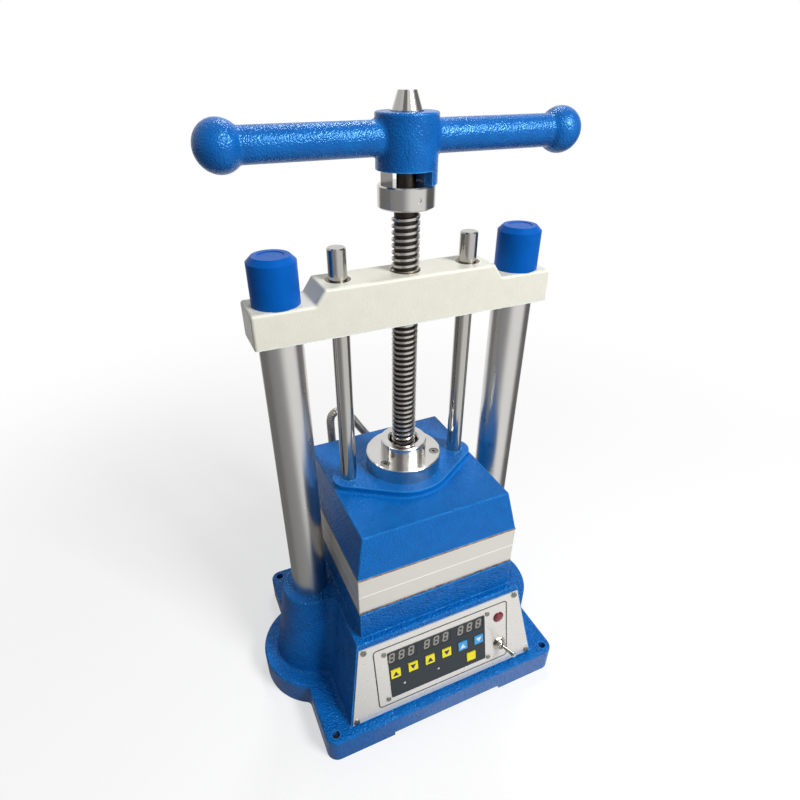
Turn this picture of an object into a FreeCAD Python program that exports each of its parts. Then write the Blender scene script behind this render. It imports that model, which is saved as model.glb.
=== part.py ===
# Bench vulcanizer for rubber moulds: a cast base with a control panel, two heated platens,
# a sliding head on two guide rods, and a screw with a swinging two-ball handle.
# Millimetres. The origin is on the floor, at the middle of the four holes in the base.
# +X is to the right of someone who faces the panel, -Y is towards them and +Z is up.
import FreeCAD, Part
import math
import os
import re
import Sketcher

os.makedirs("parts", exist_ok=True)
doc = FreeCAD.newDocument("rubber_mould_vulcanizer")
sheet = doc.addObject("Spreadsheet::Sheet", "sizes")

SIZES = {
    # base casting
    "base_width": 323,
    "plate_front_ledge": 12.4,
    "plate_back_ledge": 29,
    "base_thickness": 37,
    "base_corner": 14,
    "base_edge_round": 3,
    "flange_neck_round": 8,
    "foot_blend": 5,
    "boss_blend": 12,
    "boss_edge_round": 2.5,
    "base_hole_spacing_x": 298,
    "base_hole_spacing_y": 266,
    "base_hole_radius": 5,
    "base_foot_length": 85,
    "base_recess_height": 6,
    # the press axis is the middle of the screw and of the two columns
    "press_axis_y": 3.5,
    "column_spacing": 258,
    "column_flange_radius": 72,
    "boss_foot_radius": 53.5,
    "boss_top_radius": 34.4,
    "boss_height": 114.6,
    # control housing and the block that carries the lower platen
    "housing_height": 114.8,
    "housing_top_width": 217,
    "housing_foot_width": 259,
    "housing_front_foot": 135.6,
    "housing_tilt": 11.4,
    "housing_back": 112,
    "housing_wall": 8,
    "housing_round": 2,
    "well_lip": 7,
    "block_width": 200,
    "block_front": 104,
    "block_back": 100,
    "block_height": 38.9,
    "block_wall": 14,
    "block_roof": 14,
    "cover_level": 6.4,
    "cover_thickness": 2,
    "cover_gap": 0.4,
    "boss_cavity_gap": 6,
    # heated platens
    "platen_width": 200,
    "platen_front": 102,
    "platen_back": 98,
    "platen_thickness": 24.6,
    "platen_gap": 0.3,
    "platen_edge": 1,
    "insulation_thickness": 2.5,
    "heater_radius": 6,
    "heater_clearance": 0.1,
    "heater_length": 190,
    "heater_lead_length": 8,
    "heater_lead_radius": 1.4,
    "heater_pitch": 62,
    "sensor_radius": 2,
    "sensor_depth": 60,
    "sensor_nut_radius": 4,
    "sensor_nut_length": 7,
    "sensor_offset": 31,
    "platen_screw_radius": 3,
    "platen_screw_length": 22,
    "platen_screw_grip": 12,
    "platen_screw_x": 84,
    "platen_screw_y": 84,
    # columns
    "column_radius": 21.5,
    "column_length": 337.8,
    "column_foot_radius": 15,
    "column_top_radius": 10,
    "column_top_length": 54,
    "column_chamfer": 1.5,
    "foot_nut_flats": 46,
    "foot_nut_height": 18,
    "foot_nut_recess": 28,
    "foot_nut_rise": 24,
    "foot_thread_stand": 3,
    "top_nut_flats": 30,
    "top_nut_height": 16,
    "fit_gap": 0.1,
    # caps over the column nuts
    "cap_radius": 22.4,
    "cap_height": 43.5,
    "cap_wall": 2,
    "cap_chamfer": 5,
    "cap_dimple_radius": 12,
    "cap_dimple_depth": 0.6,
    # cross beam
    "beam_length": 315,
    "beam_depth": 46,
    "beam_end_height": 33.5,
    "beam_hump_height": 13.9,
    "beam_slope_foot": 98.4,
    "beam_slope_top": 88.5,
    "beam_round": 3,
    "nut_body_radius": 19,
    "nut_neck_radius": 14.9,
    "nut_neck_height": 7,
    "nut_stand": 0.8,
    "nut_gap": 0.3,
    # guide rods and their bushes
    "guide_spacing": 138.4,
    "guide_rod_radius": 9,
    "guide_rod_top": 566.2,
    "guide_rod_seat": 35,
    "guide_rod_chamfer": 1.2,
    "guide_bush_radius": 12.5,
    "guide_running_gap": 0.05,
    # sliding head
    "head_height": 50.3,
    "head_top_width": 180,
    "head_top_front": 93,
    "head_top_back": 88,
    "head_round": 2,
    "pad_blend": 3,
    "pad_height": 8.7,
    "pad_middle_radius": 57,
    "pad_lobe_radius": 19,
    "bearing_pocket_radius": 30,
    "bearing_pocket_depth": 30.2,
    "bearing_washer_height": 4,
    "bearing_ball_radius": 3.5,
    "bearing_ball_circle": 19,
    "bearing_ball_count": 14,
    "bearing_bore_radius": 12,
    "bearing_outer_radius": 26,
    "bearing_gap": 0.2,
    # thrust cap
    "thrust_disc_radius": 43.7,
    "thrust_disc_height": 18.6,
    "thrust_ring_radius": 26.5,
    "thrust_ring_height": 17.3,
    "thrust_bore_radius": 16.4,
    "thrust_chamfer": 1,
    "thrust_screw_circle": 36,
    "thrust_screw_radius": 3,
    "thrust_screw_head_radius": 5,
    "thrust_screw_head_height": 6,
    "thrust_screw_recess_radius": 5.8,
    "thrust_screw_length": 24,
    "thrust_screw_socket": 2.5,
    # lead screw
    "screw_radius": 13.5,
    "thread_pitch": 6,
    "thread_depth": 2.4,
    "thread_crest": 2.2,
    "thread_root": 2.4,
    "thread_start": 16,
    "screw_foot_radius": 24,
    "screw_foot_play": 0.3,
    "screw_neck_radius": 10.5,
    "screw_journal_radius": 6.6,
    "collar_seat_radius": 9,
    "screw_end_length": 9,
    # drive collar, with its tooth
    "collar_lift": 57.9,
    "collar_radius": 26.4,
    "collar_height": 19.6,
    "collar_chamfer": 1.2,
    "tooth_angle": 152,
    "tooth_width": 10,
    "tooth_inner": 12,
    "tooth_outer": 22.6,
    "tooth_height": 9.5,
    "collar_pin_radius": 2.5,
    # handle
    "handle_angle": -1.3,
    "hub_lift": 12,
    "hub_radius": 27.6,
    "hub_height": 44.3,
    "hub_bore_radius": 9,
    "hub_round": 2,
    "arm_height": 24.7,
    "arm_radius": 14,
    "arm_fillet": 5,
    "ball_distance": 157.5,
    "ball_radius": 20,
    "ball_neck_fillet": 4,
    "lip_drop": 11.6,
    "lip_inner_radius": 19.4,
    "lip_from": -60,
    "lip_to": 62,
    "hub_running_gap": 0.05,
    "tip_flange_radius": 14.5,
    "tip_flange_height": 0.8,
    "tip_foot_radius": 13.1,
    "tip_top_radius": 8.2,
    "tip_height": 15,
    "end_play": 0.15,
    # control panel, in its own plane: across, up the slope, and out of it
    "panel_foot_gap": 1.9,
    "panel_thickness": 1.5,
    "panel_foot_width": 254.4,
    "panel_top_width": 215.8,
    "panel_height": 108.6,
    "panel_screw_inset": 5.4,
    "case_screw_radius": 2,
    "case_screw_head_radius": 3.6,
    "case_screw_head_height": 1.6,
    "case_screw_length": 9,
    "case_screw_slot": 0.7,
    "window_left": -89,
    "window_right": 93,
    "window_foot": 9,
    "window_top": 98,
    "membrane_x": -7.9,
    "membrane_y": 55,
    "membrane_width": 132.6,
    "membrane_height": 70.8,
    "membrane_thickness": 0.8,
    "membrane_corner": 1.5,
    "spacer_inset_x": 3.9,
    "spacer_inset_y": 4.6,
    "spacer_radius": 3,
    "spacer_length": 9,
    "spacer_screw_radius": 1.5,
    "spacer_screw_head_radius": 2.9,
    "spacer_screw_head_height": 1.5,
    "board_thickness": 1.6,
    "board_width": 149,
    "board_height": 80,
    # displays
    "display_pitch": 46.5,
    "display_y": 81.3,
    "display_width": 37.6,
    "display_height": 19,
    "display_body_depth": 7.2,
    "display_face_width": 36.8,
    "display_face_height": 16,
    "display_face_drop": 0.3,
    "window_gap": 0.3,
    # keys
    "key_pitch": 23,
    "key_y": 56.8,
    "start_key_x": 37,
    "start_key_y": 34.3,
    "key_side": 12.4,
    "key_stand": 1.3,
    "key_travel": 0.5,
    "key_flange": 13.6,
    "key_flange_height": 1,
    "key_stem_radius": 1.7,
    "key_switch_side": 6,
    "key_switch_height": 3.4,
    # indicator lights, lamp and switch
    "led_x": 46.5,
    "led_y": 35.3,
    "led_radius": 1.5,
    "led_stand": 0.7,
    "lamp_x": 79,
    "lamp_y": 78.5,
    "lamp_lens_radius": 6.9,
    "lamp_lens_height": 4.2,
    "lamp_hole_radius": 5.2,
    "lamp_body_length": 26,
    "lamp_nut_radius": 8,
    "lamp_nut_height": 3,
    "switch_x": 79.6,
    "switch_y": 35.5,
    "switch_body_width": 13,
    "switch_body_height": 19,
    "switch_body_depth": 20,
    "switch_bush_radius": 5.8,
    "switch_bush_length": 7,
    "switch_nut_flats": 14,
    "switch_nut_height": 2.2,
    "switch_throw": 24,
    "switch_pivot_depth": 3.5,
    "lever_length": 25.5,
    "lever_foot_radius": 1.6,
    "lever_tip_radius": 2.9,
    "lever_ball_radius": 3.4,
    "lever_slot_radius": 4.3,
    # inside the housing
    "transformer_width": 66,
    "transformer_depth": 44,
    "transformer_height": 56,
    "transformer_coil_width": 40,
    "transformer_coil_depth": 62,
    "transformer_coil_height": 34,
    "transformer_x": 24,
    "transformer_y": 60,
    "relay_width": 45,
    "relay_depth": 58,
    "relay_height": 27,
    "relay_x": -38,
    "relay_y": 66,
    "relay_pitch": 62,
    "terminal_width": 70,
    "terminal_depth": 18,
    "terminal_height": 16,
    "terminal_y": -18,
    # conduit hose and the glands on the back
    "hose_radius": 5.4,
    "hose_bore_radius": 3.6,
    "hose_groove": 0.8,
    "hose_rib_pitch": 3,
    "hose_arch_radius": 12.3,
    "hose_leg_x": -53.3,
    "hose_leg_bow": 1.5,
    "gland_radius": 8,
    "gland_hex_flats": 20,
    "gland_hex_height": 6,
    "gland_elbow_radius": 8.4,
    "gland_socket_length": 10,
    "base_gland_x": -57,
    "base_gland_z": 96,
    "head_gland_x": 6.8,
    "head_gland_z": 259,
    "head_gland_lean": 33.2,
    "head_gland_boss": 13,
    "head_gland_depth": 12,
    "gland_reach": 10,
    "mains_gland_x": 62,
    "mains_gland_z": 74,
    "mains_gland_radius": 9,
    "mains_gland_bore": 4,
    "mains_gland_length": 22,
    "fuse_x": 22,
    "fuse_z": 74,
    "fuse_radius": 7,
    "fuse_length": 12,
}

for row, (alias, size) in enumerate(SIZES.items(), start=1):
    sheet.set(f"A{row}", alias)
    sheet.set(f"B{row}", str(size))
    sheet.setAlias(f"B{row}", alias)
doc.recompute()

# Levels that follow from the stack of parts, as sheet expressions.
HOUSING_TOP = "(base_thickness + housing_height)"
BLOCK_TOP = f"({HOUSING_TOP} + block_height)"
LOWER_PLATEN_FOOT = f"({BLOCK_TOP} + insulation_thickness)"
LOWER_PLATEN_TOP = f"({LOWER_PLATEN_FOOT} + platen_thickness)"
UPPER_PLATEN_FOOT = f"({LOWER_PLATEN_TOP} + platen_gap)"
UPPER_PLATEN_TOP = f"({UPPER_PLATEN_FOOT} + platen_thickness)"
HEAD_FOOT = f"({UPPER_PLATEN_TOP} + insulation_thickness)"
HEAD_TOP = f"({HEAD_FOOT} + head_height)"
PAD_TOP = f"({HEAD_TOP} + pad_height)"
DISC_TOP = f"({PAD_TOP} + thrust_disc_height)"
RING_TOP = f"({DISC_TOP} + thrust_ring_height)"
BOSS_TOP = "(base_thickness + boss_height)"
BEAM_FOOT = f"({BOSS_TOP} + column_length)"
BEAM_END_TOP = f"({BEAM_FOOT} + beam_end_height)"
BEAM_TOP = f"({BEAM_END_TOP} + beam_hump_height)"
COLLAR_FOOT = f"({BEAM_TOP} + collar_lift)"
COLLAR_TOP = f"({COLLAR_FOOT} + collar_height)"
HUB_FOOT = f"({COLLAR_TOP} + hub_lift)"
HUB_TOP = f"({HUB_FOOT} + hub_height)"
ARM_LEVEL = f"({HUB_FOOT} + arm_height)"
COVER_TOP = "(cover_level + cover_thickness)"
PLATE_FRONT = "(-housing_front_foot - plate_front_ledge)"
PLATE_BACK = "(housing_back + plate_back_ledge)"
POCKET_FOOT = f"({PAD_TOP} - bearing_pocket_depth)"
BEARING_TOP = f"({POCKET_FOOT} + 2 * bearing_washer_height + 2 * bearing_ball_radius)"

AXIS_TURNS = {
    "up": "vector(0; 0; 1); 0",
    "right": "vector(0; 1; 0); 90",
    "back": "vector(1; 0; 0); -90",
    "front": "vector(1; 0; 0); 90",
}


def tied(text):
    """The same expression with each size read from the sheet."""
    def from_sheet(word):
        return f"sizes.{word.group(0)}" if word.group(0) in SIZES else word.group(0)
    return re.sub(r"[a-z][a-z_0-9]*", from_sheet, str(text))


def number(text):
    """The present value of a sheet expression."""
    return float(sheet.evalExpression(tied(text)))


def tie(thing, **expressions):
    """Bind properties of an object to sheet expressions."""
    for name, text in expressions.items():
        thing.setExpression(name, tied(text))
    return thing


def put(thing, x="0", y="0", z="0", turn=AXIS_TURNS["up"]):
    """Place an object; y is counted from the press axis."""
    place = f"placement(vector({x}; {y} + press_axis_y; {z}); rotation({turn}))"
    thing.setExpression("Placement", tied(place))
    return thing


def put_on_panel(thing, x="0", y="0", out="0", turn=""):
    """Place an object in the panel's plane: across, up the slope and out of it."""
    lean = "rotation(vector(1; 0; 0); 90 - housing_tilt)"
    foot_y = "-housing_front_foot + panel_foot_gap * tan(housing_tilt)"
    foot = f"vector(0; {foot_y} - panel_thickness / cos(housing_tilt) + press_axis_y;"
    foot += " base_thickness + panel_foot_gap)"
    spin = f"rotation({turn})" if turn else "rotation(vector(0; 0; 1); 0)"
    place = f"placement({foot}; {lean}) * placement(vector({x}; {y}; {out}); {spin})"
    thing.setExpression("Placement", tied(place))
    return thing


def cylinder(name, radius, length, x="0", y="0", z="0", along="up"):
    piece = tie(doc.addObject("Part::Cylinder", name), Radius=radius, Height=length)
    return put(piece, x, y, z, AXIS_TURNS[along])


def cone(name, foot_radius, top_radius, length, x="0", y="0", z="0", along="up"):
    piece = doc.addObject("Part::Cone", name)
    tie(piece, Radius1=foot_radius, Radius2=top_radius, Height=length)
    return put(piece, x, y, z, AXIS_TURNS[along])


def ball(name, radius, x="0", y="0", z="0"):
    return put(tie(doc.addObject("Part::Sphere", name), Radius=radius), x, y, z)


def block(name, low_x, high_x, low_y, high_y, low_z, high_z):
    """A box between two levels on each axis; y is counted from the press axis."""
    piece = doc.addObject("Part::Box", name)
    tie(piece, Length=f"({high_x}) - ({low_x})", Width=f"({high_y}) - ({low_y})")
    tie(piece, Height=f"({high_z}) - ({low_z})")
    return put(piece, low_x, low_y, low_z)


def hexagon(name, flats, length, x="0", y="0", z="0"):
    piece = doc.addObject("Part::Prism", name)
    piece.Polygon = 6
    tie(piece, Circumradius=f"({flats}) / sqrt(3)", Height=length)
    return put(piece, x, y, z)


def frustum(name, foot, top, low_z, high_z):
    """A block with sloping sides; foot and top are (low x, high x, low y, high y)."""
    piece = doc.addObject("Part::Wedge", name)
    tie(piece, Xmin=foot[0], Xmax=foot[1], Zmin=f"-({foot[3]})", Zmax=f"-({foot[2]})")
    tie(piece, X2min=top[0], X2max=top[1], Z2min=f"-({top[3]})", Z2max=f"-({top[2]})")
    tie(piece, Ymin="0", Ymax=f"({high_z}) - ({low_z})")
    return put(piece, "0", "0", low_z, AXIS_TURNS["front"])


def fused(name, pieces):
    whole = doc.addObject("Part::MultiFuse", name)
    whole.Shapes = pieces
    whole.Refine = True
    return whole


def cut(name, base, tools):
    """The base without the tools."""
    result = doc.addObject("Part::Cut", name)
    result.Base = base
    result.Tool = tools[0] if len(tools) == 1 else fused(name + "_tools", tools)
    result.Refine = True
    return result


def group(name, pieces):
    """Separate solids that share one node."""
    together = doc.addObject("Part::Compound", name)
    together.Links = pieces
    return together


def edges_where(shape, wanted):
    """Numbers of the edges whose middle point satisfies a test."""
    chosen = []
    for index, edge in enumerate(shape.Edges, start=1):
        middle = edge.valueAt((edge.FirstParameter + edge.LastParameter) / 2)
        if wanted(edge, middle):
            chosen.append(index)
    return chosen


def rounded(name, base, *rules):
    """Round the base's edges; each rule is a radius and a test that picks the edges."""
    doc.recompute()
    result = doc.addObject("Part::Fillet", name)
    result.Base = base
    result.Edges = [(index, number(radius), number(radius))
                    for radius, wanted in rules for index in edges_where(base.Shape, wanted)]
    return result


def curve_kind(edge):
    """The type name of an edge's curve, or nothing where it has none."""
    try:
        return edge.Curve.TypeId
    except TypeError:
        return ""


def upright(edge, middle):
    """True for an edge that runs along Z."""
    return abs(edge.tangentAt(edge.FirstParameter).z) > 0.99


def level_with(text):
    """A test for edges whose middle is at a height."""
    height = number(text)
    return lambda edge, middle: abs(middle.z - height) < 0.01


def above(text):
    """A test for edges whose middle is higher than a height."""
    height = number(text)
    return lambda edge, middle: middle.z > height + 1


def origin_plane(body, role):
    return next(f for f in body.Origin.OriginFeatures if f.Role == role)


def closed_sketch(body, name, role, corners):
    """A closed sketch with straight sides whose corners are pairs of sheet expressions."""
    sketch = body.newObject("Sketcher::SketchObject", name)
    sketch.AttachmentSupport = [(origin_plane(body, role), "")]
    sketch.MapMode = "FlatFace"
    points = [FreeCAD.Vector(number(a), number(b), 0) for a, b in corners]
    count = len(points)
    for k in range(count):
        sketch.addGeometry(Part.LineSegment(points[k], points[(k + 1) % count]), False)
    for k in range(count):
        sketch.addConstraint(Sketcher.Constraint("Coincident", k, 2, (k + 1) % count, 1))
    for k, pair in enumerate(corners):
        for kind, axis, text in zip(("DistanceX", "DistanceY"), (-2, -1), pair):
            if text == "0":
                sketch.addConstraint(Sketcher.Constraint("PointOnObject", k, 1, axis))
                continue
            limit = Sketcher.Constraint(kind, -1, 1, k, 1, number(text))
            index = sketch.addConstraint(limit)
            sketch.setExpression(f"Constraints[{index}]", tied(text))
    return sketch


def turned(name, outline):
    """A body turned about its own Z axis; the outline is (radius, height) pairs."""
    body = doc.addObject("PartDesign::Body", name)
    sketch = closed_sketch(body, name + "_outline", "XZ_Plane", outline)
    turning = body.newObject("PartDesign::Revolution", name + "_turning")
    turning.Profile = sketch
    turning.ReferenceAxis = (sketch, ["V_Axis"])
    turning.Angle = 360
    body.Tip = turning
    return body


def plate(name, corners, thickness):
    """A body padded upwards from a straight-sided outline in its own XY plane."""
    body = doc.addObject("PartDesign::Body", name)
    sketch = closed_sketch(body, name + "_outline", "XY_Plane", corners)
    pad = body.newObject("PartDesign::Pad", name + "_pad")
    pad.Profile = sketch
    tie(pad, Length=thickness)
    body.Tip = pad
    return body


def four_corners(half_x, half_y):
    """Signed x and y of the four corners of a rectangle."""
    return [(f"{sx} * ({half_x})", f"{sy} * ({half_y})") for sx in (-1, 1) for sy in (-1, 1)]


SIDES = (("left", "-1"), ("right", "1"))


def column_x(side):
    return f"{side} * column_spacing / 2"


def guide_x(side):
    return f"{side} * guide_spacing / 2"


# Base casting: plate, column flanges, control housing, platen block and column bosses.
def base_plate():
    half_x = "base_width / 2"
    slab = block("base_slab", f"-{half_x}", half_x, PLATE_FRONT, PLATE_BACK, "0", "base_thickness")
    slab = rounded("base_slab_corners", slab, ("base_corner", upright))
    flanges = [cylinder(f"{name}_flange", "column_flange_radius", "base_thickness", column_x(side))
               for name, side in SIDES]
    whole = fused("base_plate", [slab] + flanges)
    side = number("base_width / 2")
    necks = rounded("base_plate_necks", whole, (
        "flange_neck_round",
        lambda edge, middle: upright(edge, middle) and abs(abs(middle.x) - side) < 0.01
        and abs(middle.y) < number("column_flange_radius")))
    return rounded("base_plate_rounded", necks, ("base_edge_round", level_with("base_thickness")))


def housing_front(level):
    """The housing's front face at a level above the base plate."""
    return f"(-housing_front_foot + ({level}) * tan(housing_tilt))"


def control_housing():
    foot = ("-housing_foot_width / 2", "housing_foot_width / 2", housing_front("0"), "housing_back")
    top = ("-housing_top_width / 2", "housing_top_width / 2", housing_front("housing_height"),
           "housing_back")
    shell = frustum("housing_shell", foot, top, "base_thickness", HOUSING_TOP)
    crown = level_with(HOUSING_TOP)
    return rounded("housing_rounded", shell, (
        "housing_round",
        lambda edge, middle: crown(edge, middle) or (middle.z > number("base_thickness + 1") and middle.y > 0)))


def platen_block():
    body = block("platen_block", "-block_width / 2", "block_width / 2", "-block_front", "block_back",
                 HOUSING_TOP + " - 1", BLOCK_TOP)
    return rounded("platen_block_rounded", body, ("platen_edge", upright))


def housing_cavity():
    """A straight well through the base plate, the sloping hollow above it, and the block's hollow."""
    wall = "housing_wall"
    half_foot = f"(housing_foot_width / 2 - {wall})"
    half_top = f"(housing_top_width / 2 - {wall})"
    inner_back = f"(housing_back - {wall})"
    well = block("housing_well", f"-{half_foot} + well_lip", f"{half_foot} - well_lip",
                 f"-housing_front_foot + {wall} + well_lip", f"{inner_back} - well_lip",
                 "-1", "base_thickness + 1")
    lower = frustum("housing_hollow",
                    (f"-{half_foot}", half_foot, f"{housing_front('0')} + {wall}", inner_back),
                    (f"-{half_top}", half_top, f"{housing_front('housing_height')} + {wall}", inner_back),
                    "base_thickness", f"{HOUSING_TOP} - {wall}")
    upper = block("block_hollow", "-block_width / 2 + block_wall", "block_width / 2 - block_wall",
                  "-block_front + block_wall", "block_back - block_wall",
                  f"{HOUSING_TOP} - {wall} - 1", f"{BLOCK_TOP} - block_roof")
    return cut("housing_cavity", fused("housing_hollows", [well, lower, upper]), boss_keeps("cavity", "0"))


def boss_keeps(name, gap):
    """Cylinders that keep a cavity or the cover clear of the column bosses."""
    return [cylinder(f"{name}_{side_name}_keep", f"boss_foot_radius + boss_cavity_gap + {gap}",
                     HOUSING_TOP, column_x(side), "0", "-1") for side_name, side in SIDES]


def cover_outline(gap):
    """Low and high x and y of the bottom cover, or of the step that it lies in."""
    half = f"(housing_foot_width / 2 - housing_wall - {gap})"
    return (f"-{half}", half, f"-housing_front_foot + housing_wall + {gap}",
            f"housing_back - housing_wall - {gap}")


def cover_recess():
    step = block("cover_step", *cover_outline("0"), "-1", "cover_level + cover_thickness")
    return cut("cover_recess", step, boss_keeps("recess", "0"))


def panel_window():
    depth = "housing_wall + 6"
    hole = doc.addObject("Part::Box", "panel_window")
    tie(hole, Length="window_right - window_left", Width="window_top - window_foot", Height=depth)
    return put_on_panel(hole, "window_left", "window_foot", f"-({depth}) - panel_thickness + 2")


def foot_arches():
    """The low arches between the feet, from the front and back edges into the cover's step."""
    half = "base_width / 2 - base_foot_length"
    front = block("front_arch", f"-({half})", half, PLATE_FRONT + " - 1",
                  "-housing_front_foot + housing_wall + 1", "-1", "base_recess_height")
    back = block("back_arch", f"-({half})", half, "housing_back - housing_wall - 1",
                 PLATE_BACK + " + 1", "-1", "base_recess_height")
    return [front, back]


def base_holes():
    drills = []
    for k, (x, y) in enumerate(four_corners("base_hole_spacing_x / 2", "base_hole_spacing_y / 2")):
        drills.append(cylinder(f"base_hole_{k}", "base_hole_radius", "base_thickness + 2", x,
                               f"{y} - press_axis_y", "-1"))
    for name, side in SIDES:
        x = column_x(side)
        drills.append(cylinder(f"{name}_column_hole", "column_foot_radius + fit_gap",
                               f"{BOSS_TOP} + 2", x, "0", "-1"))
        drills.append(cylinder(f"{name}_nut_recess", "foot_nut_recess", "foot_nut_rise + 1", x, "0", "-1"))
    back = "housing_back - housing_wall - 1"
    through = "housing_wall + 2"
    for name, radius, x, z in (("hose", "gland_radius", "base_gland_x", "base_gland_z"),
                               ("mains", "mains_gland_radius", "mains_gland_x", "mains_gland_z"),
                               ("fuse", "fuse_radius", "fuse_x", "fuse_z")):
        drills.append(cylinder(f"{name}_hole", radius, through, x, back, z, "back"))
    for k, (x, y) in enumerate(cover_screw_places()):
        drills.append(cylinder(f"cover_tapping_{k}", "case_screw_radius", "case_screw_length + 1",
                               x, y, "cover_level"))
    for k, (x, y) in enumerate(panel_screw_places()):
        drill = doc.addObject("Part::Cylinder", f"panel_tapping_{k}")
        tie(drill, Radius="case_screw_radius", Height="case_screw_length + 1")
        drills.append(put_on_panel(drill, x, y, "-case_screw_length - 1"))
    return drills


def cover_screw_places():
    """Two rows of screws through the front and back edges of the bottom cover."""
    front = "-housing_front_foot + housing_wall + case_screw_head_radius + fit_gap"
    back = "housing_back - housing_wall - case_screw_head_radius - fit_gap"
    return [(f"{k} * housing_foot_width / 3", y) for k in (-1, 0, 1) for y in (front, back)]


def panel_screw_places():
    places = []
    for side in ("-1", "1"):
        places.append((f"{side} * (panel_foot_width / 2 - panel_screw_inset)", "panel_screw_inset - 1"))
        places.append((f"{side} * (panel_top_width / 2 - panel_screw_inset)",
                       "panel_height - panel_screw_inset + 1"))
    return places


def platen_screw_places():
    return four_corners("platen_screw_x", "platen_screw_y")


def housing_or_boss_foot(edge, middle):
    """The lines where the bosses and the housing stand on the base plate, but not the panel's side."""
    if not level_with("base_thickness")(edge, middle):
        return False
    if curve_kind(edge) == "Part::GeomCircle":
        return abs(edge.Curve.Radius - number("boss_foot_radius")) < 0.01
    at_side = abs(abs(middle.x) - number("housing_foot_width / 2")) < 0.01
    at_back = abs(middle.y - number("press_axis_y + housing_back")) < 0.01
    return at_side or at_back


def boss_flank(edge, middle):
    """The curves where the bosses run into the sides of the housing."""
    inner = number("(housing_foot_width + housing_top_width) / 4 - housing_wall")
    return (curve_kind(edge) == "Part::GeomEllipse" and abs(middle.x) > inner + 2
            and number("base_thickness") < middle.z < number(HOUSING_TOP))


def base_casting():
    outer = fused("base_outer", [base_plate(), control_housing(), platen_block()])
    hollowed = cut("base_hollowed", outer, [housing_cavity(), panel_window()])
    bosses = [rounded(f"{name}_boss_rounded",
                      cone(f"{name}_boss", "boss_foot_radius", "boss_top_radius", "boss_height",
                           column_x(side), "0", "base_thickness"),
                      ("boss_edge_round", level_with(BOSS_TOP))) for name, side in SIDES]
    whole = fused("base_whole", [hollowed] + bosses)
    whole = rounded("base_blended", whole, ("foot_blend", housing_or_boss_foot),
                    ("boss_blend", boss_flank))
    screw_holes = [cylinder(f"lower_platen_tapping_{k}", "platen_screw_radius",
                            "platen_screw_grip + 2", x, y, f"{BLOCK_TOP} - platen_screw_grip - 1")
                   for k, (x, y) in enumerate(platen_screw_places())]
    return cut("base_casting", whole, [cover_recess()] + foot_arches() + base_holes() + screw_holes)


def bottom_cover():
    sheet_metal = block("cover_sheet", *cover_outline("cover_gap"), "cover_level",
                        "cover_level + cover_thickness")
    openings = boss_keeps("cover", "cover_gap")
    openings += [cylinder(f"cover_hole_{k}", "case_screw_radius + fit_gap", "cover_thickness + 2",
                          x, y, "cover_level - 1") for k, (x, y) in enumerate(cover_screw_places())]
    return cut("bottom_cover", sheet_metal, openings)


# Heated platens with their insulation, heaters and sensors.
def heater_places(level):
    return [(f"{k} * heater_pitch", f"{level} + platen_thickness / 2") for k in (-1, 0, 1)]


def platen(name, foot):
    slab = block(f"{name}_slab", "-platen_width / 2", "platen_width / 2", "-platen_front",
                 "platen_back", foot, f"{foot} + platen_thickness")
    slab = rounded(f"{name}_edges", slab, ("platen_edge", upright))
    drills = [cylinder(f"{name}_heater_bore_{k}", "heater_radius + heater_clearance",
                       "heater_length + 1", x, "platen_back - heater_length", z, "back")
              for k, (x, z) in enumerate(heater_places(foot))]
    drills.append(cylinder(f"{name}_sensor_bore", "sensor_radius + heater_clearance",
                           "sensor_depth + 1", "sensor_offset", "platen_back - sensor_depth",
                           f"{foot} + platen_thickness / 2", "back"))
    low = "-1" if name == "lower_platen" else "platen_thickness - platen_screw_grip"
    drills += [cylinder(f"{name}_tapping_{k}", "platen_screw_radius", "platen_screw_grip + 1",
                        x, y, f"{foot} + {low}") for k, (x, y) in enumerate(platen_screw_places())]
    return cut(name, slab, drills)


def insulation(name, foot):
    sheet_stock = block(f"{name}_board", "-platen_width / 2", "platen_width / 2", "-platen_front",
                        "platen_back", foot, f"{foot} + insulation_thickness")
    drills = [cylinder(f"{name}_hole_{k}", "platen_screw_radius + fit_gap",
                       "insulation_thickness + 2", x, y, f"{foot} - 1")
              for k, (x, y) in enumerate(platen_screw_places())]
    return cut(name, sheet_stock, drills)


def heaters(name, foot):
    rods = []
    for k, (x, z) in enumerate(heater_places(foot)):
        body = cylinder(f"{name}_rod_{k}", "heater_radius", "heater_length", x,
                        "platen_back - heater_length", z, "back")
        leads = [cylinder(f"{name}_lead_{k}_{n}", "heater_lead_radius", "heater_lead_length",
                          f"{x} + {n} * heater_radius / 2", "platen_back", z, "back")
                 for n in (-1, 1)]
        rods.append(fused(f"{name}_{k}", [body] + leads))
    return group(name, rods)


def sensor(name, foot):
    z = f"{foot} + platen_thickness / 2"
    probe = cylinder(f"{name}_probe", "sensor_radius", "sensor_depth", "sensor_offset",
                     "platen_back - sensor_depth", z, "back")
    nut = cylinder(f"{name}_nut", "sensor_nut_radius", "sensor_nut_length", "sensor_offset",
                   "platen_back", z, "back")
    return fused(name, [probe, nut])


def platen_screws(name, low):
    return group(name, [cylinder(f"{name}_{k}", "platen_screw_radius", "platen_screw_length", x, y, low)
                        for k, (x, y) in enumerate(platen_screw_places())])


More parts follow.
